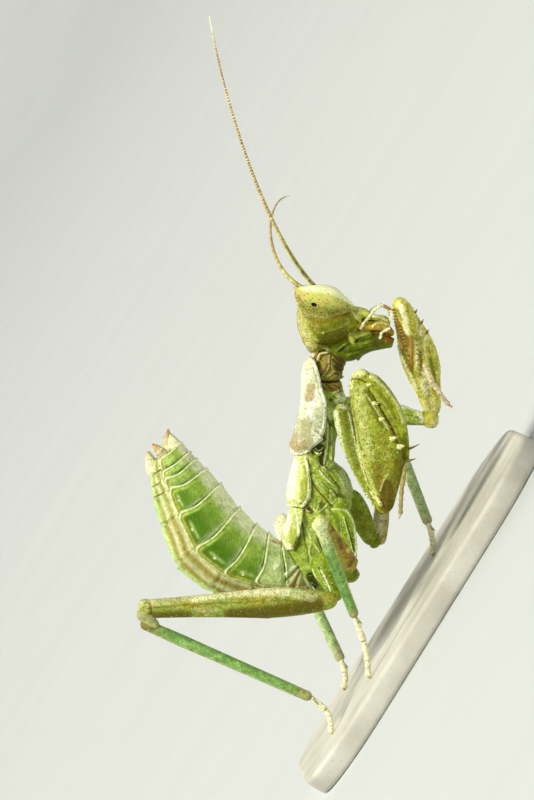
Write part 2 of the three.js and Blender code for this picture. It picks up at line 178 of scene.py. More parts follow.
def stand(name, shape, finish, slot, *stands_for):
    """Turns a finished shape from upright to the animal's stance on its base, and lays it in."""
    bmesh.ops.transform(shape, matrix=STANCE, verts=shape.verts)
    piece(name, shape, finish, slot, *stands_for)


def cuticle(name, plain, second, pale, dark, warm, spots=0.3, grains=0.4, rough=0.42, relief=1,
            speck="6b4210", size=5, grit=1):
    """Insect cuticle: two close ground colours, the painted marks, dark pores and pale grains."""
    finish, shader, mm = open_finish(name, 0.1)
    shader.inputs["Specular IOR Level"].default_value = 0.2
    fine = mm.noise(13, 4).step(0.3, 0.7)
    mottle = mm.noise(4.3, 4)

    def mark(layer):
        share = mm.node("ShaderNodeAttribute", {"attribute_name": layer}, out=2)
        return (share * (0.68 + mottle * 0.5 + fine * 0.1)).step(0.04, 0.96)

    brown = mark("warm")
    colour = mm.mix(tone(plain), tone(second), mm.noise(1.6, 3).step(0.36, 0.62))
    colour = mm.mix(colour, tone(dark), mottle.step(0.48, 0.3) * 0.25)
    colour = mm.mix(colour, tone(pale), mottle.step(0.53, 0.75) * 0.25)
    colour = mm.mix(colour, tone(dark), mark("dark"))
    colour = mm.mix(colour, tone(pale), mark("pale"))
    colour = mm.mix(colour, tone(warm), brown * 0.75)
    pores = mm.cells(size)
    picked = mm.cells(size, 1) * 1.0 + brown * 0.25
    pore = (1 - pores.step(0.1, 0.34)) * picked.step(0.82 - spots * 0.35, 0.88 - spots * 0.35)
    colour = mm.mix(colour, tone(speck), pore * 0.7)
    grain = (1 - mm.cells(size * 2.3).step(0.1, 0.4)) * mm.noise(3.1).step(0.6 - grains * 0.3, 0.75)
    colour = mm.mix(colour, tone(pale), grain * min(grains, 0.6) * 0.6)
    colour = colour.bright(fine * (0.56 * grit) + mottle.step(0.3, 0.7) * 0.26 + (0.87 - 0.28 * grit))
    close_finish(shader, colour, rough + fine * 0.12 - grain * 0.08,
                 (grain * (0.02 * grains) + fine * 0.022 + mottle * 0.035 - pore * 0.006) * relief)
    return finish


def smooth(values, t):
    """A value off an evenly spaced list, numbers or places, on a smooth curve at t from 0 to 1."""
    last = len(values) - 1
    spot = min(max(t, 0), 1) * last
    i = min(int(spot), last - 1)
    f = spot - i
    a, b = values[i], values[i + 1]
    before = values[i - 1] if i else 2 * a - b
    after = values[i + 2] if i + 2 <= last else 2 * b - a
    return 0.5 * (2 * a + (b - before) * f + (2 * before - 5 * a + 4 * b - after) * f * f
                  + (3 * a - before - 3 * b + after) * f ** 3)


def blank():
    """An empty shape, and its layers of paint, one for each mark."""
    shape = bmesh.new()
    return shape, [shape.verts.layers.float.new(name) for name in MARKS]


def rolled(spot, rings, sides, paint=None):
    """A sheet rolled into a closed skin: spot(t, c, s) places it, c and s turning round the piece."""
    shape, layers = blank()
    bmesh.ops.create_grid(shape, x_segments=rings, y_segments=sides, size=1)
    for vertex in shape.verts:
        t, turn = (vertex.co.x + 1) / 2, math.pi * vertex.co.y
        c, s = math.cos(turn), math.sin(turn)
        vertex.co = spot(t, c, s)
        if paint:
            for layer, share in zip(layers, paint(t, c, s, vertex.co)):
                vertex[layer] = share
    bmesh.ops.remove_doubles(shape, verts=shape.verts, dist=1e-5)
    bmesh.ops.edgeloop_fill(shape, edges=[e for e in shape.edges if e.is_boundary])
    bmesh.ops.recalc_face_normals(shape, faces=shape.faces)
    return shape


REACH = 2.2  # how many of its own widths away a mark still works


def sculpt(shape, marks):
    """Raises and paints a skin along lines. A mark is (width, rise, (pale, dark, warm), line), and a
    line is a list of (x, z) as seen from the side of the animal. A tint below 0 fades older paint."""
    shape.normal_update()
    layers = [shape.verts.layers.float[name] for name in MARKS]
    rows = []
    for width, rise, tint, line in marks:
        far = REACH * width
        if len(line) > 2:
            bends = [Vector(spot) for spot in line]
            steps = 4 * (len(line) - 1)
            line = [tuple(smooth(bends, i / steps)) for i in range(steps + 1)]
        xs, zs = [x for x, z in line], [z for x, z in line]
        pairs = list(zip(line, line[1:])) or [(line[0], line[0])]
        rows.append((min(xs) - far, max(xs) + far, min(zs) - far, max(zs) + far, width, rise, tint, pairs))
    for vertex in shape.verts:
        x, _, z = vertex.co
        lift = 0
        for left, right, low, high, width, rise, tint, pairs in rows:
            if not (left < x < right and low < z < high):
                continue
            near = math.inf
            for (ax, az), (bx, bz) in pairs:
                dx, dz = bx - ax, bz - az
                share = ((x - ax) * dx + (z - az) * dz) / ((dx * dx + dz * dz) or 1)
                share = min(max(share, 0), 1)
                near = min(near, math.hypot(x - ax - share * dx, z - az - share * dz))
            near /= width
            if near < REACH:
                lift += rise * math.exp(-near * near)
                flat = math.exp(-near ** 4)
                for layer, value in zip(layers, tint):
                    if value < 0:
                        vertex[layer] *= 1 + value * flat
                    else:
                        vertex[layer] = max(vertex[layer], value * flat)
        vertex.co += vertex.normal * lift


def drawn(table):
    """Reads marks for sculpt. Each row has a width, a rise, three tints and the spots of the line,
    and runs on after a comma."""
    rows = [[float(word) for word in row.split("#")[0].replace(",", " ").split()]
            for row in table.replace(",\n", " ").splitlines()]
    return [(row[0], row[1], row[2:5], list(zip(row[5::2], row[6::2]))) for row in rows if row]


def join(shape, extra):
    """Joins a second shape, with its paint, to the first."""
    sheet = bpy.data.meshes.new("joined")
    extra.to_mesh(sheet)
    extra.free()
    shape.from_mesh(sheet)
    bpy.data.meshes.remove(sheet)


def aim(root, along):
    """Stands a small shape on its root, along a direction."""
    return Matrix.Translation(root) @ Vector(along).to_track_quat("Z", "Y").to_matrix().to_4x4()


BATCH = 120  # so many grains or hairs are joined at a time
HAIR_ROOT, HAIR_TIP = 0.011, 0.002


def scatter(shape, count, seed, size, kind="grain", tint=PALE, keep=None):
    """Grains or hairs, standing on faces picked by their area."""
    dice = random.Random(seed)
    shape.normal_update()
    faces = [f for f in shape.faces if keep is None or keep(f.calc_center_median(), f.normal)]
    areas = [f.calc_area() for f in faces]
    spots = [(f.calc_center_median(), f.normal.copy()) for f in dice.choices(faces, areas, k=count)]
    while spots:
        batch, spots = spots[:BATCH], spots[BATCH:]
        extra, layers = blank()
        for root, normal in batch:
            tilt = Vector([dice.uniform(-0.5, 0.5) for _ in range(3)])
            big = size * dice.uniform(0.6, 1.3)
            if kind == "grain":
                made = bmesh.ops.create_icosphere(
                    extra, subdivisions=1, radius=big,
                    matrix=aim(root, normal) @ Matrix.Diagonal((1, 1, 0.8, 1)))["verts"]
            else:
                made = bmesh.ops.create_cone(
                    extra, segments=3, radius1=HAIR_ROOT, radius2=HAIR_TIP, depth=big, cap_ends=True,
                    matrix=aim(root + (normal + tilt) * big * 0.45, normal + tilt))["verts"]
            for vertex in made:
                for layer, value in zip(layers, tint):
                    vertex[layer] = value
        join(shape, extra)


def spike(shape, root, point, thick, tint=PLAIN, tip=PLAIN, bend=(0, 0, 0), sides=7, rings=6):
    """A spine, claw or tooth, round and hooked by its bend, painted from its root to its tip."""
    root, point, bend = Vector(root), Vector(point), Vector(bend)
    along = (point - root).normalized()
    wide = along.orthogonal().normalized()
    deep = along.cross(wide)

    def spot(t, c, s):
        middle = root.lerp(point, t) + bend * 4 * t * (1 - t)
        return middle + (deep * c + wide * s) * (thick * (1 - t) ** 0.8 + 0.002)

    def paint(t, c, s, at):
        share = min(max((t - 0.45) / 0.3, 0), 1)
        return [a + (b - a) * share for a, b in zip(tint, tip)]

    join(shape, rolled(spot, rings, sides, paint))


def trunk(ribs, flat=1, relief=None):
    """Places a skin on ribs, each [back x, back z, belly x, belly z, half-width]."""
    back = [Vector((x, 0, z)) for x, z, _, _, _ in ribs]
    belly = [Vector((x, 0, z)) for _, _, x, z, _ in ribs]
    halves = [rib[4] for rib in ribs]

    def spot(t, c, s):
        top = smooth(back, t)
        deep = (smooth(belly, t) - top) / (1 + flat)
        half = smooth(halves, t)
        lift = relief(t, c, s) if relief else 0
        length = max(deep.length, 1e-4)
        return (top + deep + deep * (c * (flat if c > 0 else 1)) * (1 + lift / length)
                + Vector((0, s * (half + lift), 0)))

    return spot


CHEST = [
    [-0.3, 5.45, 1.18, 5.3, 0.7], [-0.33, 4.9, 1.28, 4.75, 0.82], [-0.38, 4.4, 1.1, 4, 0.74],
    [-0.5, 3.65, 0.88, 3.33, 0.54], [-0.62, 3.1, 0.83, 2.72, 0.5], [-0.75, 2.68, 0.83, 2.4, 0.72],
    [-0.92, 2.1, 1.33, 1.9, 1.02], [-1.04, 1.45, 1.54, 1.33, 1.18], [-1.08, 0.95, 1.54, 0.7, 1.24],
    [-0.96, 0.5, 1.46, 0.17, 1.24], [-1.08, 0, 1.38, -0.42, 1.24], [-1.25, -0.55, 1.12, -1.25, 1.24],
    [-1.33, -1.05, 0.75, -2.3, 1.16], [-1.25, -1.5, 0.3, -3.25, 1],
]
chest = rolled(trunk(CHEST), 300, 180)
# prosternum: two light ridges on a strip darkened with painted shade
# the hollow behind the shield, darkened with painted shade, with the folded lips of a breathing hole
sculpt(chest, drawn("""
    # prosternum: two light ridges on a deep green strip
    .3 -.03  0 .5 0  .75 4.6, .6 4
    .16 .02  .2 -.3 0  .62 3.7, .6 3, .62 2.5
    .04 .05  .6 -.9 0  .5 4.1, .5 3.4, .44 2.9, .38 2.4
    .03 .04  .7 -.8 0  .66 3.9, .66 3.2, .64 2.5
    .03 -.04  0 .6 .2  .58 3.8, .57 3.1, .54 2.5
    # the dark hollow behind the shield, with the folded lips of a breathing hole
    .17 -.1  0 1 .3  -.05 2.9, .2 3.05, .28 2.7, .3 2.4
    .035 .12  1 -1 0  -.08 2.93, .03 2.8, .17 2.76, .26 2.83
    .03 .12  .9 -1 0  0 3, .1 2.9, .24 2.95, .3 3.02
    # rim of the front side plate, with two small pegs
    .05 .05  .4 -.5 .5  -.42 2.75, -.05 2.53, .33 2.21, .46 2.08
    .05 .1  1 0 .6  .33 2.21
    .06 .12  .8 0 .9  .38 2.08
    # brown suture beside the front wing pad
    .035 -.05  0 .5 .8  -.42 2.75, -.36 2.4, -.27 2.08, -.22 1.75, -.25 1.2, -.34 .87, -.45 .62
    .05 .08  1 0 .5  -.27 2.07
    # long slanting suture and the pale ridge above it
    .035 -.06  0 .7 .9  -.21 1.67, .11 1.22, .33 1, .65 .62, .84 .49
    .04 .05  .7 0 0  .14 2.08, .39 1.76, .7 1.48
    .03 -.05  0 .9 .5  .7 1.29, .97 .94, 1.25 .62
    .025 -.04  0 .8 .2  .52 2.02, .84 1.57, 1.06 1.32
    .02 -.03  0 .5 0  .62 1.85, .94 1.4, 1.2 .95
    .05 .05  .5 0 .2  .46 2.1, .84 2.34, 1.3 1.86, 1.54 1.2
    .03 -.02  0 1 0  .97 1.76
    # short cross ridges above the middle coxa
    .04 .08  .8 0 0  .62 .71, .74 .78, .84 .9
    .035 .06  .4 0 .1  .65 .58, .8 .5, .98 .47
    .04 .05  .7 0 0  .56 1.27, .68 1.22, .72 1.05
    .2 -.03  0 .8 .1  .85 .75, 1.15 .6, 1.3 .35
    # fan of folds under the suture
    .03 .06  .6 0 0  .11 .36, .33 .58, .5 .72
    .03 .05  .5 0 0  0 .42, .1 .7, .18 .9
    .03 .05  .6 0 .2  -.1 .45, -.05 .72
    .03 -.05  0 .7 .3  .16 .42, .36 .7
    .03 -.04  0 .5 .3  -.04 .5, .03 .85
    # second breathing hole, in its dark triangle
    .12 -.07  0 .9 .5  -.48 .62, -.32 .48, -.22 .38
    .03 .08  .9 -1 .2  -.46 .55, -.38 .42, -.3 .38
    .025 .07  .7 -1 .2  -.4 .62, -.32 .55
    # hind side plates: brown seams and pale ridges slanting down to the hind coxa
    .035 -.05  0 .6 .8  -.8 .49, -.73 -.08, -.69 -.47, -.72 -.82, -.84 -1.12
    .035 .05  .65 0 0  -.66 .3, -.47 -.18, -.3 -.53, -.21 -.88, -.31 -1.3, -.15 -1.6
    .03 -.05  0 .7 .4  -.6 -.1, -.5 -.75, -.35 -1.35, -.3 -1.75
    .035 .05  .6 0 0  -.1 -.95, .1 -1.25, .2 -1.7, .35 -2.1
    .05 -.04  0 .8 .3  0 -.6, .3 -1.3, .55 -2.1, .75 -2.8
    .2 0  0 .5 0  .6 -.4, .7 -1.5, .6 -2.4
    # small plates and the ball of the front hip
    .1 0  0 .8 .6  .62 5.02
    .12 .07  .8 0 0  .85 4.95, 1.25 5.1
    .18 .14  .45 -1 0  .45 4.6, .6 4.3, .75 4.6
    .05 -.06  0 1 .3  .38 4.75, .45 4.3, .62 3.95
    .16 0  0 .9 .4  .3 4.3, .2 3.8, .3 3.4
    .14 .05  .6 -.6 0  .95 5.1, 1.1 5.25
    .04 -.05  0 .8 .3  .75 5.2, 1 4.9
    # side plates lit along their raised borders
    .22 .03  .5 -.5 0  1.1 1.9, 1.25 1.2
    .2 .02  .45 -.3 0  .2 .1, .1 -.5
    .025 .04  .6 0 0  -.1 1.95, .05 1.55, .35 1.2
    .025 .04  .6 0 0  .75 2.1, 1.05 1.7, 1.3 1.1
    .025 .035  .5 0 0  .2 0, .05 -.35, .15 -.75
    .025 -.04  0 .7 .4  .3 1.6, .5 1.35, .5 1
    .12 0  0 .6 .1  .2 .7, .3 .3
    .1 0  0 .55 .2  .9 1.2, 1.1 .8
    # deep shade of the soft skin between the hind coxa and the abdomen
    .2 -.06  0 1 0  -.25 -2.3, -.05 -2.7
"""))
for count, seed, size, tint in ((360, 1, 0.018, (0.5, 0, 0)), (260, 7, 0.017, (0, 0.6, 0.5))):
    scatter(chest, count, seed, size, tint=tint,
            keep=lambda at, normal: abs(at.y) > 0.55 and at.z < 2.4 and at.x > -0.5)
scatter(chest, 120, 2, 0.16, "hair", keep=lambda at, normal: normal.x > 0.2 or normal.x < -0.6)
green = cuticle("green cuticle", "90a42a", "a2b84a", "dceab0", "434a00", "80501c", spots=0.3, grains=0.25)
stand("chest", chest, green, "thorax", "prothorax", "mesothorax", "metathorax")

# ---- neck --------------------------------------------------------------------------------------------
# Soft folded skin between the head and the shield, with small hard plates let into its sides.
# The folds are pressed in as the skin bunches behind the raised head.

NECK = [
    [-0.12, 7.3, 1.35, 7.35, 0.62], [-0.08, 6.9, 1.4, 6.85, 0.62], [0, 6.4, 1.2, 6.3, 0.56],
    [0.05, 5.85, 1.12, 5.75, 0.54], [0.1, 5.15, 1.25, 5.15, 0.6],
]
neck = rolled(trunk(NECK), 170, 140)
# The folded lower side of the neck and the creases between its folds are darkened with painted shade.
sculpt(neck, drawn("""
    .075 .12  .9 0 0  -.05 6.6, .02 7.03, .21 7.26, .48 7.14
    .05 .08  1 0 0  .1 6.65, .21 6.93, .47 6.97
    .03 -.07  0 .5 .9  0 6.66, .14 7.03, .42 7.1
    .03 -.07  0 .7 .9  .18 6.68, .33 6.88, .55 6.94
    .13 .07  .35 0 .55  .3 6.2, .45 6.68
    .05 -.03  0 .5 .9  .4 6.15, .52 6.5
    .03 .1  .5 -.6 -.4  .58 6.9, .54 6.33, .25 5.92
    .04 .08  .2 -.6 -.3  .64 7.15, .63 6.85, .66 6.5, .75 6.23
    .04 .07  .35 -.6 -.4  .75 6.2, .6 6.05, .42 5.92, .21 5.84
    .035 .08  .4 -.6 0  .75 6.23, .96 6.14, 1.12 5.96
    .04 -.07  0 1 .3  .63 7, .6 6.5
    .24 0  0 .75 .3  1 6.9, 1 6.2
    .035 -.018  0 1 .2  .7 7.18, .85 7, 1.1 6.88, 1.4 6.84
    .035 -.018  0 1 .2  .7 6.93, .86 6.76, 1.1 6.62, 1.4 6.58
    .035 -.018  0 1 .2  .72 6.7, .9 6.52, 1.1 6.4, 1.36 6.36
    .035 -.018  0 1 .2  .8 6.42, 1 6.26, 1.28 6.14
    .035 .018  .1 0 0  .72 7.05, .9 6.87, 1.36 6.7
    .035 .018  .15 0 0  .72 6.8, .9 6.63, 1.36 6.47
    .035 .018  .1 0 0  .76 6.57, .95 6.4, 1.3 6.24
    .12 .05  .25 0 0  .5 5.97, .95 5.96
    .05 -.1  0 1 .2  .22 5.78, .66 5.75, 1.1 5.82
    .13 -.03  0 .3 .6  .3 5.62, .95 5.42
    .03 .07  .5 -.6 -.5  .3 5.68, .58 5.4
    .03 .06  .3 -.6 -.5  .47 5.7, .95 5.44
    .03 .06  .25 -.6 -.5  .7 5.7, 1.1 5.55
    .05 .09  1 0 0  .36 5.33, .58 5.26, .94 5.38
"""))
skin = cuticle("folded skin", "7e7808", "8c8428", "d8d49a", "3c3a00", "8f5c20", spots=0.1, grains=0.2,
               rough=0.4)
stand("neck_skin", neck, skin, "neck_membrane", "neck")

# ---- shield ------------------------------------------------------------------------------------------
# The pronotum, a hard saddle over the neck and front legs, whitish with fine brown pores.
# Its side edge is a rounded bead and its rear rim is turned up.

SHIELD = [
    [-0.2, 6.82, -0.1, 6.82, 0.2], [-0.42, 6.6, -0.02, 6.58, 0.62], [-0.56, 6.2, 0.12, 6.15, 0.85],
    [-0.59, 5.6, 0.25, 5.55, 0.98], [-0.6, 5, 0.44, 5, 1.18], [-0.68, 4.4, 0.44, 4.4, 1.13],
    [-0.83, 3.85, 0.4, 3.88, 1.05], [-0.99, 3.35, 0.22, 3.38, 1], [-1.06, 3.05, -0.1, 3.08, 0.84],
    [-0.92, 2.8, -0.42, 2.8, 0.48], [-0.78, 2.72, -0.68, 2.72, 0.16],
]
shield = rolled(trunk(SHIELD, 0.12), 150, 120)
sculpt(shield, drawn("""
    .07 .05  .5 .25 0  -.15 6.7, 0 6.4, .14 5.9, .22 5.45, .36 4.95, .38 4.35, .33 3.8, .22 3.4
    .04 -.035  0 .6 0  -.1 6.3, .04 5.85, .12 5.4, .25 4.95, .27 4.35, .22 3.85
    .21 -.02  0 .15 .95  -.28 5.1, -.2 5.55
    .035 .03  1 0 -1  -.5 4.93, -.2 4.93, .01 5.13
    .2 -.02  0 .5 .05  .05 4.6, .08 4.2, -.02 3.7
    .16 0  0 .3 .1  -.3 4.2, -.55 3.5
    .22 0  0 .25 .75  -.85 3.5, -.9 3.12, -.5 3.12
    .32 0  0 .5 .5  -.4 4.05, -.45 3.6, -.4 3.2
    .12 0  0 0 .35  -.4 6.35, -.35 6.1
    .07 .02  0 0 1  -.99 3.1
    .03 .05  1 -1 0  -.05 3.69, .21 3.43
    .04 -.04  0 .7 .1  0 3.74, .24 3.5
    .05 .06  1 -1 -.8  -1.07 2.93, -.93 2.8, -.72 2.76, -.42 2.83, -.09 3.08, .22 3.37
    .05 .03  0 0 .8  -.2 6.75, 0 6.6
"""))
scatter(shield, 260, 3, 0.018, tint=(0.9, 0, 0), keep=lambda at, normal: normal.x < 0.4)
scatter(shield, 330, 5, 0.026, tint=(0, 0.2, 1), keep=lambda at, normal: normal.x < 0.4 and at.z < 4.4)
scatter(shield, 90, 4, 0.13, "hair", tint=PALE, keep=lambda at, normal: normal.x < 0.2)
ivory = cuticle("ivory shield", "e9ecd2", "d9dcb0", "fcfdf6", "8d9a50", "a58650", spots=0.85, grains=0.3,
                speck="80581c", size=6.2, rough=0.5, grit=0.7)
stand("shield", shield, ivory, "thorax_shield", "pronotum")

# ---- wing pads ---------------------------------------------------------------------------------------
# Two pairs of short leaf-shaped pads, each pair one plate across the back, as a young mantis has.
# Each pad is swollen and yellow-green inside a turned white rim.

PADS = {
    "wing_pads_front": ([
        [-0.82, 2.66, -0.3, 2.66, 0.62], [-0.98, 2.1, -0.28, 2.1, 1.08], [-1.12, 1.5, -0.22, 1.5, 1.28],
        [-1.18, 1, -0.26, 1, 1.36], [-1.14, 0.62, -0.5, 0.6, 1.22]], drawn("""
            .1 .02  0 .5 0  -.5 2.2, -.5 1.7
            .18 .05  0 .75 0  -.5 1.6, -.56 1
            .16 .02  1 -.5 0  -.85 2.4, -.97 1.7, -1.05 1
            .035 -.05  0 .4 0  -.5 2.5, -.4 2, -.37 1.5, -.42 1, -.6 .72
            .045 .06  .9 -.7 0  -.44 2.7, -.38 2.31, -.3 1.99, -.26 1.57, -.29 1.19, -.36 .87,
                -.5 .67, -.74 .57, -.93 .57, -1.1 .66
            .05 -.03  0 .15 .1  -.66 2.5, -.76 1.6, -.88 .8
            .03 0  0 0 1  -.92 1.64
            .03 0  0 0 1  -.98 1.4
            .025 0  0 0 .9  -1 1.2
            .025 0  0 0 .9  -.9 2.05
        """)),
    "wing_pads_hind": ([
        [-1.02, 0.52, -0.5, 0.5, 1.1], [-1.18, 0, -0.55, 0, 1.34], [-1.36, -0.55, -0.7, -0.55, 1.4],
        [-1.42, -0.95, -0.85, -0.95, 1.34], [-1.32, -1.22, -1, -1.2, 1.1]], drawn("""
            .1 .02  0 .5 0  -.87 .2, -.93 -.4
            .15 .04  0 .75 0  -.94 -.4, -1 -.85
            .1 .02  1 -.5 0  -1.1 .2, -1.24 -.5
            .03 -.05  0 .4 0  -.88 .4, -.82 -.1, -.8 -.5, -.85 -.85, -1 -1.08
            .042 .06  .9 -.7 0  -.84 .49, -.77 -.08, -.74 -.47, -.76 -.82, -.87 -1.07,
                -1.03 -1.15, -1.27 -.98, -1.36 -.72
            .03 0  0 0 1  -1.32 -.75
        """)),
}
leaf = cuticle("wing pad leaf", "e2e6a4", "d6dc86", "f4f6dc", "a0ae22", "90602a", spots=0.2, grains=0.25,
               rough=0.45)
for seed, (name, (ribs, marks)) in enumerate(PADS.items()):
    pads = rolled(trunk(ribs, 0.15), 110, 110)
    sculpt(pads, marks)
    scatter(pads, 70, 10 + seed, 0.12, "hair", tint=PALE, keep=lambda at, normal: normal.x < 0)
    stand(name + "_skin", pads, leaf, "wing_pads", name)

# ---- abdomen -----------------------------------------------------------------------------------------
# Nine overlapping rings curled up over the back. Each has a hard plate above, with a raised cream rear
# edge and rounded rear corners, pleated soft skin along the side, and a plainer plate below.

RINGS = [
    [-1.3, -0.95, 0.1, -3.5, 1.05], [-1.42, -0.92, -1.2, -3.6, 1.3], [-1.95, -0.55, -2.7, -3.6, 1.52],
    [-2.48, -0.18, -4.4, -3.15, 1.7], [-3.2, 0.53, -5.85, -2.05, 1.75], [-3.98, 1.53, -6.5, -0.38, 1.6],
    [-4.58, 2.16, -6.82, 0.85, 1.32], [-5, 2.57, -6.88, 1.27, 1.1], [-5.25, 2.86, -6.93, 1.75, 0.88],
    [-5.62, 3.25, -6.93, 2.32, 0.62],
]
GREEN_DEPTH = [0, 0.1, 0.25, 0.7, 1, 1, 0.8, 0.6, 0.4, 0.2]
PLATE_EDGE, LOW_PLATE = 0.42, 0.93  # how far round the side the upper plates end, the lower begin
LIP_AT, LIP_LONG = 0.93, 0.07  # how far along a ring its rear edge turns in, and how long it is
CORNER_TURN = 0.34  # the radius of a plate's rear corners
PLEATS = 24  # how close the pleats of the soft side follow each other


def soft(low, high, value):
    """A soft step, 0 at low and 1 at high."""
    share = min(max((value - low) / (high - low), 0), 1)
    return share * share * (3 - 2 * share)


def hump(middle, width, value):
    """A rounded hump, 1 at its middle."""
    return math.exp(-((value - middle) / width) ** 2)


def ring_skin(ring):
    """One ring of the abdomen, as long as the space between two of its ribs."""
    front, rear = [[Vector((x, 0, z)), Vector((belly_x, 0, belly_z)), half]
                   for x, z, belly_x, belly_z, half in RINGS[ring - 1:ring + 1]]
    green, big = GREEN_DEPTH[ring], 1 if ring < 7 else 0.6
    middle = (front[0] + front[1] + rear[0] + rear[1]) / 4
    along = (rear[0] + rear[1] - front[0] - front[1]).normalized()

    def inside(f, c):
        # how far, in mm, a spot of the upper plate lies inside its rounded edge; below 0 is soft skin
        span = (front[0].lerp(front[1], (c + 1) / 2) - rear[0].lerp(rear[1], (c + 1) / 2)).length
        size = (rear[1] - rear[0]).length / 2
        behind, below = (1 - f) * span, (PLATE_EDGE - c) * size * 1.15
        turn = CORNER_TURN * big
        if behind < turn and below < turn:
            return turn - math.hypot(turn - behind, turn - below)
        return min(behind, below)

    def folds(f, c):
        bend = c + 0.03 * math.sin(f * 4 + ring)
        return 0.5 + 0.5 * math.cos((bend - PLATE_EDGE - 0.06) * PLEATS)

    def spot(t, c, s):
        f, lip = min(t / LIP_AT, 1), max(t - LIP_AT, 0) / LIP_LONG
        back, belly = front[0].lerp(rear[0], f), front[1].lerp(rear[1], f)
        deep, half = (belly - back) / 2, front[2] + (rear[2] - front[2]) * f
        edge = inside(f, c)
        hard = soft(-0.03, 0.03, edge)
        pleat = soft(PLATE_EDGE - 0.02, PLATE_EDGE + 0.05, c) * soft(LOW_PLATE, 0.86, c)
        lift = 0.07 * hard - 0.07 * (1 - soft(0, 0.2, f)) + 0.03 * f ** 3 * (c < PLATE_EDGE)
        lift += 0.04 * big * hump(0.05, 0.035, edge) + 0.03 * f ** 6 * soft(-0.3, -0.85, c)
        lift += pleat * (0.05 * folds(f, c) - 0.06 - 0.04 * hump(0.03, 0.08, f))
        lift += (0.03 * hump(LOW_PLATE, 0.03, c) * soft(0.1, 0.4, f)
                 - 0.04 * soft(0.2, 0.05, f) * soft(0.85, 0.95, c))
        lift += 0.045 * hump(0.5, 0.05, f) * hump(0.22, 0.035, c) * (ring > 1)
        lift += 0.03 * hump(0.6, 0.03, f) * hump(-0.3 + 0.07 * (ring % 3), 0.02, c)
        lift += 0.03 * soft(-0.93, -1, c) - 0.1 * lip
        scale = 1 + (lift - 0.07) / deep.length
        swing = (0.16 * hump(PLATE_EDGE - 0.12, 0.26, c) * f ** 3 * (1 < ring < 8)
                 - 0.05 * hump(-0.2, 0.4, c) * f)
        return (back + deep + deep * c * scale * (1 - lip * 0.12)
                + Vector((0, s * (half + lift - 0.07) * (1 - lip * 0.12), 0))
                + along * (0.05 * (lip - lip * lip * 1.6) + swing))

    def paint(t, c, s, at):
        f = min(t / LIP_AT, 1)
        edge = inside(f, c)
        hard, fold, low = soft(-0.02, 0.02, edge), folds(f, c), soft(0.86, LOW_PLATE, c)
        skin, back = (1 - hard) * soft(0.2, 0.3, c) * (1 - low), soft(-0.42, -0.92, c)
        rim = hump(0.05, 0.035, edge) * hard
        lines = hump(0.12, 0.04, edge) + (0.8 * hump(0.26, 0.04, edge) if ring > 2 else 0)
        low_part, ripe = soft(0.05, 0.3, c), 1 if ring < 6 else 0.8
        # a painted highlight along the lower flank of the middle rings
        flank_highlight = hump(0.18, 0.05, c) * soft(0.05, 0.3, f) * soft(0.85, 0.6, f) * (1 < ring < 7)
        dot = hump(0.5, 0.05, f) * hump(0.22, 0.035, c) * (ring > 1)
        pale = max(0.85 * rim, 0.88 * back, 0.3 * flank_highlight, 0.8 * dot, skin * (0.2 + 0.38 * fold), low * 0.42,
                   0.8 * soft(-0.96, -1, c), 0.42 * (ring < 3) * hard, 0.42 * hard * soft(0.3, 0.02, f),
                   0.2 * (ring > 6) * hard)
        warm = max(0.9 * lines * low_part * hard, skin * (0.74 - 0.36 * fold) * ripe,
                   0.6 * skin * soft(0.1, 0, f), 0.35 * hump(0.12, 0.03, edge) * hard,
                   0.25 * (ring > 7) * back, 0.25 * low * soft(0.85, 1, f),
                   0.15 * back * soft(0.5, 1, f), 0.6 * (ring == 1) * hard * hump(0.3, 0.12, c))
        dark = (green * hard * soft(-0.8, -0.35, c) * soft(0.14, 0.3, edge) * (1 - 0.6 * flank_highlight)
                * (0.55 + 0.45 * soft(-0.4, 0.1, c)))
        # the last term darkens the front of the back of each ring, where the ring before overlaps it: painted
        # shade
        dark = max(dark, 0.55 * hump(0.1, 0.05, c) * hard * (2 < ring < 7) * soft(0.1, 0.3, edge),
                   0.5 * soft(0.08, 0, f) * soft(-0.9, -0.3, c))
        return pale, dark, warm

    return rolled(spot, 54, 190, paint)


FOLDS = {  # the fan of creases where the abdomen joins the chest
    1: drawn("""
        .05 .06  1 0 0  -.62 -1.72, -1 -2, -1.4 -2.3
        .04 -.06  0 .6 .6  -.62 -1.8, -1 -2.2, -1.35 -2.5
        .06 .06  .7 0 .4  -.6 -1.85, -.95 -2.35, -1.2 -2.75
        .04 -.06  0 .7 .8  -.58 -1.9, -.82 -2.4, -1 -2.9
        .06 .05  .4 0 .6  -.52 -1.95, -.68 -2.4, -.8 -2.9
        .1 -.03  0 .6 .4  -.4 -2.1, -.5 -2.8
    """),
    2: drawn("""
        .05 .06  0 0 1  -1.82 -.86, -1.66 -.95
        .04 .06  0 0 .8  -1.6 -1, -1.5 -.95
        .12 .03  .8 0 0  -1.55 -1.7, -1.75 -1.95
    """),
}
belly = cuticle("abdomen green", "aac852", "92b63a", "eef5cc", "4c7600", "a0642c", spots=0.12, grains=0.1,
                rough=0.36, relief=0.8, grit=0.4)
for ring in range(1, 10):
    skin_of_ring = ring_skin(ring)
    sculpt(skin_of_ring, FOLDS.get(ring, []))
    if ring > 1:
        scatter(skin_of_ring, 30, 20 + ring, 0.016, tint=PALE, keep=lambda at, normal: abs(at.y) > 0.4)
        scatter(skin_of_ring, 24, 40 + ring, 0.12, "hair", tint=PALE)
    stand(f"abdomen_ring_{ring}", skin_of_ring, belly, "abdomen", f"abdomen_{ring}")

# ---- tail tip ----------------------------------------------------------------------------------------
# The pointed hood and keel at the end of the abdomen, with the two short jointed feelers between them.
# They are horny and dry, rust-brown at their tips.


def crowded(u):
    """Crowds the rings of a limb towards its two ends."""
    return u - 0.8 * math.sin(2 * math.pi * u) / (2 * math.pi)


def bowed(start, middle, end, t):
    """A spot on a bowed line."""
    return start * (1 - t) ** 2 + middle * (2 * t * (1 - t)) + end * t * t


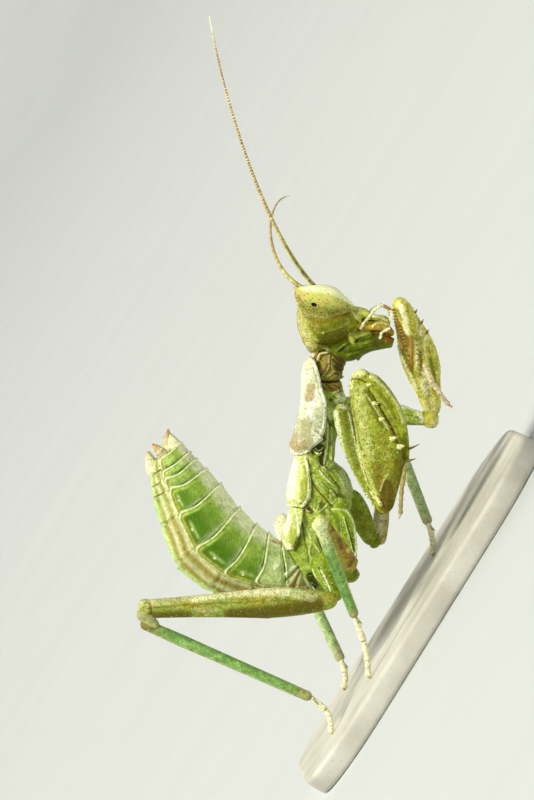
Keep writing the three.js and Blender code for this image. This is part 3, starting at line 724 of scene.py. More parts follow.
def limb(start, end, deep, bow=(0, 0, 0), wide=0.85, side=(0, 1, 0), relief=None):
    """Places a skin along a bowed limb. deep is its half-thickness, from its root to its end."""
    start, end, side = Vector(start), Vector(end), Vector(side)
    middle = (start + end) / 2 + Vector(bow) * 2
    length = (end - start).length

    def spot(u, c, s):
        t = crowded(u)
        tangent = ((middle - start) * (1 - t) + (end - middle) * t).normalized()
        wide_axis = (side - tangent * side.dot(tangent)).normalized()
        half = smooth(deep, t)
        near = min(t, 1 - t) * length / max(half, 1e-3)
        half *= math.sqrt(1 - (1 - min(near, 1)) ** 2) * 0.98 + 0.02
        lift = relief(t, c, s) * min(near, 1) if relief else 0
        return (bowed(start, middle, end, t)
                + tangent.cross(wide_axis) * (c * (half + lift)) + wide_axis * (s * (half * wide + lift)))

    return spot


horn = cuticle("tail horn", "d8d6a0", "cfcf8a", "f6f2d4", "8b6b26", "b3682a", spots=0.2, grains=0.3)


def rusty(t, c, s, at):
    """Paint that turns from pale horn to rust towards the tip and the side edges."""
    return (0.5 * soft(0.9, 0.6, t), 0.3 * soft(0.4, 0, t),
            soft(0.7, 0.95, t) + 0.4 * soft(0.8, 1, abs(c)) * soft(0.3, 0.8, t))


hood = rolled(limb((-5.7, 0, 2.75), (-6.05, 0, 3.62), [0.36, 0.33, 0.2, 0.05], wide=1.3), 40, 32, rusty)
stand("tail_hood", hood, horn, "tail_tip", "anal_plate")
keel = rolled(limb((-6.6, 0, 1.8), (-6.95, 0, 2.88), [0.26, 0.3, 0.22, 0.05], (-0.03, 0, 0), wide=1.3),
              40, 32, rusty)
stand("tail_keel", keel, horn, "tail_tip", "keel_plate")
JOINTS = 44  # how close the joints of a tail feeler follow each other
for hand, side, point in (("right", -1, (-6.8, -0.55, 3.2)), ("left", 1, (-6.1, 0.55, 3.8))):
    def jointed(t, c, s, at):
        joint = 0.5 + 0.5 * math.cos(t * JOINTS)
        return 0.6 * joint * soft(0.9, 0.6, t), 0.2 * (1 - joint), 0.35 + 0.6 * soft(0.5, 0.95, t)

    tail_feeler = rolled(limb((-6.1, 0.4 * side, 2.5), point, [0.16, 0.22, 0.22, 0.15, 0.03], wide=0.9,
                              relief=lambda t, c, s: 0.008 * math.cos(t * JOINTS)), 60, 28, jointed)
    scatter(tail_feeler, 40, 60 + side, 0.13, "hair", tint=PALE)
    stand(f"cercus_{hand}_horn", tail_feeler, horn, "tail_tip", f"cercus_{hand}")

# ---- head --------------------------------------------------------------------------------------------
# A hard three-cornered capsule, raised so that its face looks up, with two big smooth cone eyes.
# The eyes carry fine brown specks and the small dark spot that a living eye shows.

HEAD = (Matrix.Translation((0.65, 0, 8.42)) @ Matrix.Rotation(math.radians(-2.5), 4, "Z")
        @ Matrix.Rotation(math.radians(16), 4, "Y"))
EYE = [
    [-1.83, 0.77, 0.03, 1.45, 0.03], [-1.62, 0.6, 0.29, 1.4, 0.22], [-1.2, 0.43, 0.66, 1.3, 0.42],
    [-0.75, 0.49, 0.74, 1.22, 0.55], [-0.17, 0.53, 0.74, 1.12, 0.59], [0.3, 0.62, 0.44, 1.02, 0.43],
    [0.79, 0.69, 0.1, 0.88, 0.08],
]
EYE_SPOT = (-0.127, 9.004)  # the dark spot, as seen from the side
SPOT_LONG, SPOT_WIDE = 0.13, 0.085
LEVEL, SLOPE = 0.94, 0.34  # the slant of its long way


def eye_skin(side):
    """One eye, a blunt cone that leans out over the side of the head."""
    middle = [Vector((x, y * side, z)) for x, z, _, y, _ in EYE]
    tall, broad = [row[2] for row in EYE], [row[4] for row in EYE]

    def place(t, c, s):
        turn = t - math.sin(2 * math.pi * t) / (2 * math.pi) * 0.6
        return HEAD @ (smooth(middle, turn) + Vector((0, s * smooth(broad, turn), c * smooth(tall, turn))))

    def paint(t, c, s, at):
        # pale along the top, as a painted highlight, and at the point; darker and specked most along the
        # lower middle, the darkening partly painted shade
        low = max(hump(-0.42, 0.42, c), 0.45 * soft(0.5, -0.6, c))
        low = max(low, 0.4 * soft(0.5, 0.75, t) * hump(0, 0.5, c))
        return (soft(0.3, 0.9, c) * soft(0.1, 0.4, t), low * soft(0.03, 0.3, t) * soft(1, 0.85, t),
                max(soft(0.45, 0.1, t) * soft(1, 0.3, c), 0.4 * hump(-0.85, 0.15, c)))

    shape = rolled(place, 84, 80, paint)
    layer = shape.verts.layers.float.new("eye_spot")
    for vertex in shape.verts:
        dx, dz = vertex.co.x - EYE_SPOT[0], vertex.co.z - EYE_SPOT[1]
        long, short = dx * LEVEL - dz * SLOPE, dx * SLOPE + dz * LEVEL
        vertex[layer] = max(1 - 0.5 * math.hypot(long / SPOT_LONG, short / SPOT_WIDE), 0)
    return shape


eye_finish, shader, mm = open_finish("eye", 0.15)
shader.inputs["Coat Weight"].default_value = 0.12
shader.inputs["Specular IOR Level"].default_value = 0.3
shader.inputs["Coat Roughness"].default_value = 0.3
pale, dark, warm = [mm.node("ShaderNodeAttribute", {"attribute_name": layer}, out=2) for layer in MARKS]
spot = mm.node("ShaderNodeAttribute", {"attribute_name": "eye_spot"}, out=2).step(0.46, 0.54)
crowd, grit = mm.noise(3.2, 3), mm.noise(17, 2)
picked = mm.cells(13, 1) * 1.0 + dark * 0.6 + warm * 0.35 + (crowd - 0.5) * 0.6 - 0.1
specks = (1 - mm.cells(13).step(0.2, 0.55)) * picked.step(0.55, 0.75) * (1 - pale.step(0.5, 1) * 0.8)
colour = mm.mix(tone("d2c86a"), tone("bccc5c"), crowd.step(0.4, 0.6))
# the dark tint along the lower middle is partly painted shade, and the pale tint along the top is a painted
# highlight
colour = mm.mix(colour, tone("7c7810"), dark * (0.2 + crowd * 0.9))
colour = mm.mix(colour, tone("f3f6c2"), pale.step(0.05, 0.9))
colour = mm.mix(colour, tone("d2a878"), warm * 0.55)
colour = mm.mix(colour, tone("6a5208"), grit.step(0.52, 0.62) * (dark * 0.6 + warm * 0.4))
colour = mm.mix(colour, tone("422a02"), specks * 0.9)
colour = mm.mix(colour, tone("0c0a04"), spot)
colour = colour.bright(0.8 + mm.noise(14, 3) * 0.5)
close_finish(shader, colour, 0.4 + crowd * 0.12 - spot * 0.2, mm.cells(26) * 0.003 + specks * -0.003)
for hand, side in (("right", -1), ("left", 1)):
    stand(f"eye_dome_{hand}", eye_skin(side), eye_finish, "eye", f"eye_{hand}")


def slices(rows):
    """Ribs for trunk() from slices across the head, each [x, top, bottom, half-width]."""
    return [[x, top, x, bottom, half] for x, top, bottom, half in rows]


def on_head(place):
    """Carries the places of a skin to the raised head."""
    return lambda t, c, s: HEAD @ place(t, c, s)


capsule = rolled(on_head(trunk(slices([
    [-1.4, 0.3, -0.2, 0.7], [-1.15, 0.58, -0.8, 1.25], [-0.75, 0.79, -1.33, 1.42],
    [-0.33, 0.92, -1.62, 1.5], [0.17, 0.92, -1.3, 1.42], [0.58, 0.79, -0.95, 1.21],
    [1, 0.74, -0.4, 0.92], [1.25, 0.68, 0.1, 0.74]]))), 160, 170)
# two swellings of the cheek, darkened with painted shade, with a fine pale seam between them and a painted
# shadow along their lower edge
sculpt(capsule, drawn("""
    # the rim of the eye socket
    .07 -.05  0 .2 .5  -.66 8.75, -.4 8.5, -.08 8.35, .25 8.32, .68 8.4, 1.02 8.52, 1.35 8.66, 1.57 8.74
    # two swellings of the cheek, with a fine pale seam between them
    .22 .05  0 .4 .1  .1 8.12, .5 8.18, .9 8.32, 1.3 8.43
    .36 .1  0 .65 0  .3 7.62, .6 7.65, .99 7.8
    .25 0  0 .55 0  .5 7.5, .9 7.62
    .03 .02  .3 -.5 0  -.23 7.83, .35 7.89, 1.02 8.1, 1.4 8.26
    .035 .06  1 0 0  -.16 7.81
    .035 .06  1 0 0  .27 7.85
    .07 -.07  0 1 0  0 7.42, .4 7.36, .84 7.4, 1.3 7.65
    # pale band behind the eye, flecked brown
    .26 .02  .6 -.5 .25  -.62 8.5, -.55 8, -.42 7.65, -.2 7.3
    .1 0  .3 0 .4  -.35 8.25, -.1 8.1, .1 8.1
    .07 0  0 0 .55  -.54 8.2
    .09 0  0 0 .5  -.1 8.08
    .1 0  0 0 .6  -.52 7.6
    .12 0  0 .2 .7  -.25 7.2
    .12 .03  .4 -.4 .1  -.17 7.66, 0 7.5
    # pale ridge in front of the cheek, and the deep green beyond it
    .06 .06  .7 -1 0  1.45 8.72, 1.57 8.57, 1.7 8.42, 1.85 8.28
    .15 -.02  .6 -1 0  1.6 8.75, 1.7 8.58, 1.9 8.38
    .03 -.04  0 .6 .9  1.92 8.27, 1.88 8.14
    .1 .03  .9 0 0  1.5 8.9, 1.75 8.78, 2.2 8.68
"""))
face_green = cuticle("face green", "7e8204", "8c9008", "dcdd88", "4c4a00", "946228", spots=0.35, grains=0.1,
                     rough=0.36, relief=0.6, grit=0.7)
# sockets of the feelers and three small simple eyes on the face between the big ones
for side in (-1, 1):
    spike(capsule, HEAD @ Vector((-0.35, 0.42 * side, 0.8)), HEAD @ Vector((-0.42, 0.42 * side, 1.05)), 0.2,
          (0.6, 0, 0), (0, 0, 0.6))
for x, y in ((-0.75, -0.16), (-0.75, 0.16), (-0.58, 0)):
    lens, (_, dark, _) = blank()
    bmesh.ops.create_uvsphere(lens, u_segments=16, v_segments=10, radius=0.09,
                              matrix=Matrix.Translation(HEAD @ Vector((x, y, 0.86))))
    for vertex in lens.verts:
        vertex[dark] = 1
    join(capsule, lens)
scatter(capsule, 60, 71, 0.014, tint=PALE, keep=lambda at, normal: at.z < 8.4)
scatter(capsule, 260, 73, 0.024, tint=(0, 0.5, 1), keep=lambda at, normal: at.x < 0.2 and at.z < 8.6)
scatter(capsule, 60, 72, 0.12, "hair", tint=PALE)
stand("head_shell", capsule, face_green, "face", "head_capsule")

# ---- mouthparts --------------------------------------------------------------------------------------
# The upper lip over a pair of horny jaws, and under them the ridged lower jaws and lip.
# Each is a hard plate hinged to the head by soft skin, with short jointed palps to feel its food.

lip = rolled(on_head(trunk(slices([
    [1, 0.78, 0.3, 0.74], [1.3, 0.78, 0.33, 0.68], [1.55, 0.74, 0.36, 0.63], [1.75, 0.66, 0.38, 0.6],
    [2.05, 0.71, 0.4, 0.52], [2.3, 0.65, 0.36, 0.36], [2.46, 0.5, 0.38, 0.1]]))), 70, 64)
sculpt(lip, drawn("""
    .04 -.05  0 .6 .5  2.25 8.75, 2.33 8.4
    .06 .05  .9 0 0  2.39 8.5, 2.7 8.43, 2.95 8.32
    .035 -.05  0 .5 .5  2.42 8.4, 2.75 8.34, 3 8.22
    .05 .02  0 0 .8  2.9 8.5, 3.05 8.4
"""))
lip_finish = cuticle("lip yellow", "e2ea56", "e8f070", "f6f8b8", "8a9208", "a86a30", spots=0.1, grains=0.1,
                     relief=0.5)
stand("upper_lip", lip, lip_finish, "face", "labrum")

jaws = rolled(on_head(trunk(slices([
    [1, 0.3, -0.3, 0.76], [1.5, 0.36, -0.2, 0.7], [2.1, 0.42, -0.12, 0.6], [2.5, 0.34, -0.08, 0.42],
    [2.72, 0.18, 0, 0.1]]))), 60, 64)
sculpt(jaws, drawn("""
    .05 .08  1 0 -1  2.36 8.08, 2.55 8.2, 2.8 8.18, 3.05 8.07
    .12 .04  .3 0 .4  2.45 8, 2.9 8
    .05 -.06  0 1 .6  2.3 7.85, 2.6 7.87, 2.95 7.75
    .1 0  0 .2 1  3.05 7.75, 3.15 7.6
"""))
jaw_finish = cuticle("jaw horn", "b4a01c", "bea42c", "eadf98", "403600", "925208", spots=0.1, grains=0.1,
                     relief=0.5)
stand("upper_jaws", jaws, jaw_finish, "mouthparts", "mandibles")

lower = rolled(on_head(trunk(slices([
    [0.1, -0.8, -1.5, 0.5], [0.3, -0.6, -1.66, 0.7], [0.9, -0.12, -1.62, 0.78], [1.4, -0.04, -1.45, 0.74],
    [1.95, -0.02, -0.94, 0.62], [2.4, 0, -0.68, 0.46], [2.8, -0.1, -0.48, 0.16]]))), 130, 120)
sculpt(lower, drawn("""
    .1 .1  .85 0 0  1.36 7.8, 1.42 7.6, 1.55 7.42
    .07 .09  .65 0 0  1.5 7.88, 1.75 7.98, 2 7.96, 2.2 8.05
    .05 .06  .4 0 0  .86 7.06, 1.05 7.22, 1.25 7.38
    .2 .08  .5 -1 0  1.6 7.7, 2 7.8, 2.35 7.92
    .04 -.07  0 1 .4  2.42 8.05, 2.5 7.9, 2.45 7.75
    .25 0  0 .3 .8  2.75 7.85, 3 7.75
    .03 .05  .7 0 0  1.7 7.6, 1.95 7.68, 2.3 7.8
    .045 -.08  0 1 0  1.6 7.43, 1.85 7.58, 2.1 7.68, 2.4 7.82
    .035 .04  .25 0 0  1.2 7.1, 1.7 7.28, 2.4 7.45
    .03 -.04  0 .7 0  1.2 7.25, 1.7 7.42, 2.4 7.62
    .03 -.03  0 .5 0  1.3 6.95, 1.8 7.08, 2.3 7.25
    .18 -.02  0 .55 .2  2.38 7.72, 2.48 7.4, 2.75 7.45
    .12 0  0 .8 0  .98 7.1, 1.15 7.2
    .09 .02  0 0 .9  2.95 7.5, 3.15 7.45
"""))
# the hanging flap of the lower lip, with its rust-coloured rim
flap = rolled(trunk([[1.35, 6.98, 1.9, 7.2, 0.3], [1.6, 6.84, 2.1, 6.98, 0.26], [1.72, 6.7, 2, 6.84, 0.2],
                     [1.8, 6.62, 1.86, 6.68, 0.05]]), 30, 36, lambda t, c, s, at: (0, 0, soft(0.55, 1, t)))
join(lower, flap)
lower_finish = cuticle("lower jaw green", "5e6e00", "708000", "ccd25c", "262c00", "9c5010", spots=0.2,
                       grains=0.15, relief=0.7)
stand("lower_jaws_and_lip", lower, lower_finish, "mouthparts", "lower_jaws")


CREAM, RUST, LEAFY = (0.9, 0, 0), (0, 0, 1), (0.4, 0.4, 0)
palp_finish = cuticle("palp cream", "c6cf80", "b8c46a", "eef0cc", "77842a", "9a5a20", spots=0.1, grains=0.1,
                      relief=0.5)


def palp(name, joints, thick, tints, stands_for):
    """A chain of small rounded joints, each a little waisted, joined in one piece."""
    whole, _ = blank()
    joints = [Vector(joint) for joint in joints]
    for start, end, tint in zip(joints, joints[1:], tints):
        reach = (end - start) * (0.03 / (end - start).length)
        join(whole, rolled(limb(start - reach, end + reach, [thick * k for k in (0.8, 0.95, 1, 1.1, 1)],
                                wide=1), 20, 18, lambda t, c, s, at: tint))
    scatter(whole, 30, 81, 0.08, "hair", tint=PALE)
    stand(name, whole, palp_finish, "palps", stands_for)


for hand, side in (("right", -1), ("left", 1)):
    palp(f"jaw_palp_{hand}", [(1.85, 0.74 * side, 7.98), (2, 0.84 * side, 8.22), (2.2, 0.93 * side, 8.47),
                              (2.47, 0.98 * side, 8.82), (2.79, 0.98 * side, 8.97), (3.1, 0.95 * side, 8.79),
                              (3.17, 0.93 * side, 8.5)],
         0.06, [CREAM, LEAFY, CREAM, CREAM, RUST, CREAM], f"palp_{hand}")
    palp(f"lip_palp_{hand}", [(2.5, 0.45 * side, 7.45), (2.72, 0.6 * side, 7.62), (2.72, 0.66 * side, 7.8),
                              (3.08, 0.68 * side, 8)], 0.048, [CREAM, CREAM, CREAM], "lower_jaws")

# ---- forelegs ----------------------------------------------------------------------------------------
# The grasping legs: a long coxa hung from the chest, a deep femur edged with pale pegs, and a tibia with
# a hooked claw that folds against it. The tibia and femur teeth are dark-tipped horn.

FORE_COXA = [0.25, 0.42, 0.46, 0.46, 0.42, 0.32, 0.17]
FORE_FEMUR = [0.3, 0.55, 0.8, 0.95, 0.97, 0.93, 0.86, 0.68, 0.46]
RAISED_FEMUR = [0.25, 0.44, 0.56, 0.73, 0.79, 0.72, 0.58, 0.44, 0.25]
BLACK = (0, 1, 1)
OUTSIDE = 20  # farther to the right than any piece reaches


def perch(shape, x, z):
    """The spot on the right-hand surface of a shape, as seen from the side, and its outward way."""
    tree = BVHTree.FromBMesh(shape)
    at, normal, _, _ = tree.ray_cast(Vector((x, -OUTSIDE, z)), Vector((0, 1, 0)))
    if at is None:
        middle = sum((vertex.co.y for vertex in shape.verts), 0) / len(shape.verts)
        at, normal, _, _ = tree.find_nearest(Vector((x, middle, z)))
    return at, normal


FOOT_JOINTS = (0, 0.42, 0.6, 0.74, 0.86, 1)  # where the joints of a foot meet


def foot(ankle, toe, bow, thick, claw, out, tints=(CREAM, RUST)):
    """Five joints of a foot, the first the longest, and a pair of claws."""
    shape, _ = blank()
    ankle, toe, out = Vector(ankle), Vector(toe), Vector(out)
    middle = (ankle + toe) / 2 + Vector(bow) * 2
    knots = [bowed(ankle, middle, toe, t) for t in FOOT_JOINTS]

    def paint(t, c, s, at):
        end = max(soft(0.7, 0.95, t), soft(0.12, 0.02, t))
        return [a + (b - a) * end * 0.8 for a, b in zip(*tints)]

    for start, end in zip(knots, knots[1:]):
        reach = (end - start).normalized() * thick * 0.5
        join(shape, rolled(limb(start - reach, end + reach * 0.6,
                                [thick * k for k in (0.75, 0.8, 0.9, 1.08, 1)], wide=1), 18, 16, paint))
    ahead = (knots[-1] - knots[-2]).normalized()
    spread = ahead.cross(out).normalized() * claw * 0.35
    for way in (spread, -spread):
        spike(shape, toe, toe + ahead * claw * 0.5 + out * claw + way, thick * 0.42, (0.3, 0, 0.5),
              (0, 0.4, 1), bend=ahead * claw * 0.25)
    return shape


lime = cuticle("foreleg lime", "a6ac28", "98a62c", "e0e49c", "5c5a00", "80501a", spots=1.1, grains=0.45,
               speck="7a3c08", size=5, rough=0.4)
coxa = rolled(limb((0.95, -1, 4.85), (2.65, -1.8, 0.5), FORE_COXA, (-0.08, 0, 0.05)), 120, 64)
sculpt(coxa, drawn("""
    .13 .03  .75 0 0  .79 4.5, .84 4.1, 1.03 3.08, 1.38 2.11, 1.82 1.32, 2.28 .62
    .18 0  0 .5 0  1.05 4.65, 1.25 3.8, 1.45 3, 1.7 2.2
    .04 .05  .9 -1 0  1.35 4.5, 1.55 3.5, 1.8 2.5, 2.15 1.5
    .05 0  0 0 .7  .93 3.6
    .05 0  0 0 .7  1 3.2
    .05 0  0 0 .7  1.2 2.6
    .05 0  0 0 .6  1.55 1.85
    .04 -.05  0 .7 .6  2.2 .95, 2.5 .7
    .1 .06  .6 0 0  1 4.75, 1.35 4.68
"""))
scatter(coxa, 110, 91, 0.022, tint=(0.9, 0, 0))
scatter(coxa, 220, 90, 0.028, tint=(0, 0.3, 1))
scatter(coxa, 60, 92, 0.1, "hair", tint=PALE)
coxa_green = cuticle("foreleg green", "8e9a24", "9fac3a", "e0eabc", "4c5200", "80501c", spots=0.6, grains=0.4,
                     speck="6f4a18")
stand("fore_coxa_right_skin", coxa, coxa_green, "forelegs", "fore_coxa_right")


def grooved(side):
    """Two edges and a hollow between them along the inside of a grasping femur."""
    return lambda t, c, s: soft(0, 0.2, t) * (0.03 * hump(0.75 * side, 0.12, c) - 0.1 * hump(side, 0.25, c))


femur = rolled(limb((2.74, -2.15, 0.35), (1.65, -2.35, 6.26), FORE_FEMUR, (0.45, 0, 0.03), wide=0.55,
                    relief=grooved(-1)), 150, 96)
# The broad pale band to the right of the groove along the femur is a painted highlight.
sculpt(femur, drawn("""
    .05 .045  1 0 -1  1.27 5.6, 1.31 5.2, 1.42 4.4, 1.58 3.6, 1.73 2.8, 1.87 2.03, 2.1 1.41, 2.34 1
    .035 -.03  0 .4 .3  1.4 5.2, 1.52 4.4, 1.68 3.6, 1.83 2.8, 1.97 2.03, 2.2 1.41
    .26 .03  .4 0 0  1.65 5.5, 1.75 4.9, 1.85 4.2, 2 3.4, 2.15 2.8
    .14 0  0 .7 0  2 5.4, 2.3 4.7, 2.65 4
    .14 .05  .5 0 0  2.4 5.6, 2.85 5, 3.2 4.3
    .27 0  0 .5 .4  2.45 2.3, 2.65 1.5
    .13 0  .45 -.4 -.4  1.8 2.9, 2.02 2.1, 2.3 1.35, 2.5 1
    .3 0  0 .2 .3  2.6 3.4, 2.8 2.6, 2.6 1.8
    .3 0  0 .6 .1  3.4 2.9, 3.35 2.2, 3.1 1.6
    .34 0  0 1 .3  2.85 1.5, 2.85 1.1, 2.85 .7
    .12 .03  0 .5 0  2.3 2, 2.5 1.3
    .05 .04  .6 0 0  2.9 2, 2.7 1.7, 2.6 1.3
    .05 -.09  0 1 .3  2.12 5.5, 2.65 4.62, 3.1 3.85, 3.3 3.3
    .04 .04  .6 0 0  2 5.3, 2.5 4.5, 2.9 3.85
    .17 .06  1 0 0  1.5 6.12, 1.85 6.22
    .08 .03  1 0 0  1.4 5.85, 1.4 5.6
    .04 -.06  0 .8 .5  1.38 5.95, 1.7 5.93, 2 5.8, 2.15 5.6
    .07 .06  1 -1 -1  2.45 1, 2.62 .72
    .035 -.05  0 1 .5  2.62 1, 2.8 .62
"""))
# large pale pegs in a row, each with its place and size, then small low buttons
PEGS = ((2.05, 5.69, 1), (2.32, 4.91, 1.15), (2.585, 4.28, 1), (3.046, 3.47, 1.35), (3.375, 3.12, 1.35))
for x, z, big in PEGS:
    at, normal = perch(femur, x, z)
    spike(femur, at - normal * 0.05, at + Vector((0.16, -0.14, 0.04)) * big, 0.11 * big, PALE, PALE,
          rings=8, sides=10)
BUTTONS = ((2.095, 3.275), (2.156, 2.815), (2.2, 2.517), (2.265, 2.06), (3.3, 2.9), (1.95, 3.9),
           (2.05, 4.4), (1.8, 4.9), (2.5, 3.1))
for x, z in BUTTONS:
    at, normal = perch(femur, x, z)
    spike(femur, at - normal * 0.02, at + normal * 0.05, 0.045, PALE, PALE, rings=3, sides=8)
scatter(femur, 90, 93, 0.016, tint=(0.7, 0, 0))
scatter(femur, 360, 95, 0.033, tint=(0, 0.35, 1), keep=lambda at, normal: at.z < 3.9 or at.x < 1.7)
scatter(femur, 70, 94, 0.1, "hair", tint=PALE)
for i in range(14):  # a close row of dark studs beside the pegs
    at, normal = perch(femur, 2.12 + 0.093 * i, 5.45 - 0.17 * i)
    spike(femur, at - normal * 0.02, at + Vector((0.06, -0.05, 0)), 0.035, (0, 0.2, 0.8), BLACK, rings=4)
knee = rolled(limb((2.5, -1.85, 0.4), (2.85, -2.2, 0.75), [0.22, 0.27, 0.3, 0.3]), 26, 30,
              lambda t, c, s, at: (0, 0.7, 0.3))
join(femur, knee)
stand("fore_femur_right_skin", femur, lime, "forelegs", "fore_femur_right")

shin_green = cuticle("foreleg shin", "87960a", "9aa41c", "d4d888", "5a5c00", "804812", spots=0.5, grains=0.3)
tibia = rolled(limb((1.95, -2.36, 6.05), (3.68, -2.3, 2.6), [0.36, 0.45, 0.46, 0.42, 0.33, 0.22, 0.12],
                    (0.34, 0, 0.06), wide=0.8), 110, 56)
sculpt(tibia, drawn("""
    .16 .03  .8 0 0  1.9 6.2, 2.3 6
    .09 .03  .8 0 0  2.4 5.9, 2.9 5.4, 3.3 4.8, 3.55 4.1
    .12 0  0 .55 0  2.5 5.4, 2.9 4.9, 3.2 4.3
    .1 0  0 .6 0  3.6 3.6, 3.65 2.6
"""))
for i in range(11):  # the comb of small teeth on the side that closes on the femur
    f = 0.2 + 0.07 * i
    at, _ = perch(tibia, 2.05 + 1.45 * f, 5.6 - 2.75 * f)
    spike(tibia, at, at + Vector((-0.1, -0.1, -0.07)), 0.035, (0.7, 0, 0.3), BLACK)
spike(tibia, (3.6, -2.1, 2.7), (3.1, -1.95, 1.7), 0.14, (0, 0, 0.7), BLACK, bend=(0.05, 0, -0.1), rings=12)
for root, point in (((3.7, -2.35, 3.02), (4.24, -2.45, 3.26)), ((3.66, -2.35, 2.55), (4.1, -2.4, 2.65))):
    spike(tibia, root, point, 0.07, (0, 0, 0.7), BLACK, bend=(0, 0, -0.03), rings=10)
scatter(tibia, 60, 96, 0.1, "hair", tint=PALE)
stand("fore_tibia_right_skin", tibia, shin_green, "forelegs", "fore_tibia_right")

foot_finish = cuticle("foot cream", "c4c486", "b6ba72", "ece8c4", "6f6a28", "a8662a", spots=0.2, grains=0.15,
                      relief=0.5)
foreleg_foot = foot((3.62, -2.5, 2.3), (3.42, -2.7, 0.35), (-0.05, 0, 0), 0.1, 0.24, (-0.4, 0, -0.3),
                    ((0, 0.5, 0.35), (0.2, 0, 0.8)))
stand("fore_foot_right", foreleg_foot, foot_finish, "feet", "fore_tarsus_right")

# The left foreleg is raised in front of the mouth, its tibia and claw half closed over the groove.
coxa = rolled(limb((1, 1, 4.8), (4.9, 1.95, 4.05), FORE_COXA, (-0.08, 0, 0.05)), 110, 60)
sculpt(coxa, drawn("""
    .12 .03  1 0 -1  3.6 4.72, 4.1 4.63, 4.65 4.55
    .15 .06  .8 0 0  4.45 4.4, 4.6 4.1
    .04 -.03  0 .7 .3  3.9 4.35, 4.4 4.2, 4.75 3.9
    .2 0  0 .6 0  3.8 3.9, 4.6 3.75
"""))
scatter(coxa, 200, 101, 0.026, tint=(0.9, 0, 0))
# a paler copy of the foreleg green, as painted light on the raised far coxa
far_coxa_painted_light = cuticle("raised foreleg green painted light", "bcd05e", "acc44e", "eef2cc", "5c6608", "80501c", spots=0.5,
                   grains=0.4)
stand("fore_coxa_left_skin", coxa, far_coxa_painted_light, "forelegs", "fore_coxa_left")

cream_lime = cuticle("foreleg cream", "dedc6e", "cac84e", "f8f8c0", "7e8600", "a04c08", spots=0.5, grains=0.4,
                     speck="9a4c14", size=6, grit=0.8)
femur = rolled(limb((5.08, 1.95, 4.25), (3.4, -0.25, 9.25), RAISED_FEMUR, (0.17, 0, 0), wide=0.58,
                    relief=grooved(0)), 140, 90)
sculpt(femur, drawn("""
    .07 .03  1 0 0  3.7 9.3, 3.9 8.8, 4.2 8.2, 4.45 7.7
    .07 -.1  0 .5 .6  4 7.95, 4.05 7.15, 4.1 6.25
    .08 .08  .9 -.5 -.5  4.22 7.45, 4.27 6.9, 4.29 6.45
    .05 .05  .6 0 0  4.53 7.35, 4.72 6.5, 4.88 5.7
    .07 -.03  0 .8 0  4.4 7, 4.5 6.3, 4.55 5.9
    .09 -.02  0 .9 0  4.85 6.7, 5.05 5.9, 5.05 5.4
    .05 .04  .8 0 0  3.5 7.2, 3.75 6.6, 4.1 5.95, 4.35 5.4
    .08 0  0 .7 0  3.7 7, 3.95 6.45, 4.2 5.9
    .22 0  .7 -.5 0  4.62 6.1, 4.72 5.5
    .11 .06  1 0 0  4.58 5.7, 4.7 5.25
    .25 0  .35 .25 .3  4.85 4.9, 5 4.5
    .03 -.04  0 0 1  4.25 6.86
    .03 -.04  0 0 1  4.22 6.2
"""))
# the long spines of its outer edge: root, tip and colour of the tip
SPINES = ((3.8, 8.86, 4, 9.02, PALE), (4.06, 8.4, 4.26, 8.8, BLACK), (4.33, 7.92, 4.53, 8.36, BLACK),
          (4.56, 7.5, 4.77, 7.95, BLACK))
for x, z, tip_x, tip_z, tip in SPINES:
    at, _ = perch(femur, x, z)
    spike(femur, at + Vector((-0.03, 0.06, -0.03)), (tip_x, at.y - 0.15, tip_z), 0.11, PALE, tip, rings=10)
for i in range(10):  # teeth along both edges of the groove
    z = 8.1 - i * 0.21
    at, _ = perch(femur, 3.62 + 0.05 * i, z)
    spike(femur, at, at + Vector((-0.16, -0.2, -0.03)), 0.05, (0.2, 0, 0.9), BLACK)
    at, _ = perch(femur, 4.2 + 0.03 * i, z - 0.2)
    spike(femur, at, at + Vector((-0.08, -0.2, 0.05)), 0.04, (0.4, 0, 0.8), BLACK)
scatter(femur, 120, 103, 0.018, tint=(0.9, 0, 0))
scatter(femur, 260, 107, 0.026, tint=(0, 0.15, 1), keep=lambda at, normal: at.z < 7 or at.x > 4.3)
scatter(femur, 120, 108, 0.034, tint=(0.9, -0.5, 0), keep=lambda at, normal: at.z < 6)
scatter(femur, 60, 104, 0.1, "hair", tint=PALE)
knee = rolled(limb((4.6, 1.9, 3.92), (5.22, 1.9, 4.38), [0.36, 0.43, 0.43, 0.38]), 30, 36,
              lambda t, c, s, at: (0.5 * soft(0, -0.8, c), 0.7 * soft(0, 0.8, c), 0.2))
join(femur, knee)
stand("fore_femur_left_skin", femur, cream_lime, "forelegs", "fore_femur_left")

tibia = rolled(limb((3.42, -0.6, 9.2), (4.03, -0.1, 7.6), [0.26, 0.36, 0.36, 0.3, 0.2], (0.1, 0, 0)), 80, 48)
# The white band along the tibia is a painted highlight.
sculpt(tibia, drawn("""
    .12 .03  1 0 0  3.5 9, 3.67 8.5, 3.84 7.8
    .04 -.03  0 .5 .3  3.8 9, 3.95 8.4, 4 7.9
"""))
for i in range(12):  # its comb of teeth
    f = i / 11
    at = Vector((3.2, -0.55, 8.75)).lerp(Vector((3.75, -0.2, 7.35)), f)
    spike(tibia, at + Vector((0.1, 0, 0)), at + Vector((-0.17, -0.12, 0.05 - 0.12 * f)), 0.05,
          (0.3, 0, 0.9), BLACK)
spike(tibia, (3.98, -0.12, 7.85), (4.12, 0.05, 6.27), 0.12, (0, 0, 0.8), BLACK, bend=(-0.03, -0.06, 0),
      rings=16, sides=12)
spike(tibia, (3.6, -0.15, 7.45), (3.68, -0.05, 6.95), 0.06, (0, 0, 0.9), BLACK, rings=8)
scatter(tibia, 40, 106, 0.1, "hair", tint=PALE)
stand("fore_tibia_left_skin", tibia, cream_lime, "forelegs", "fore_tibia_left")

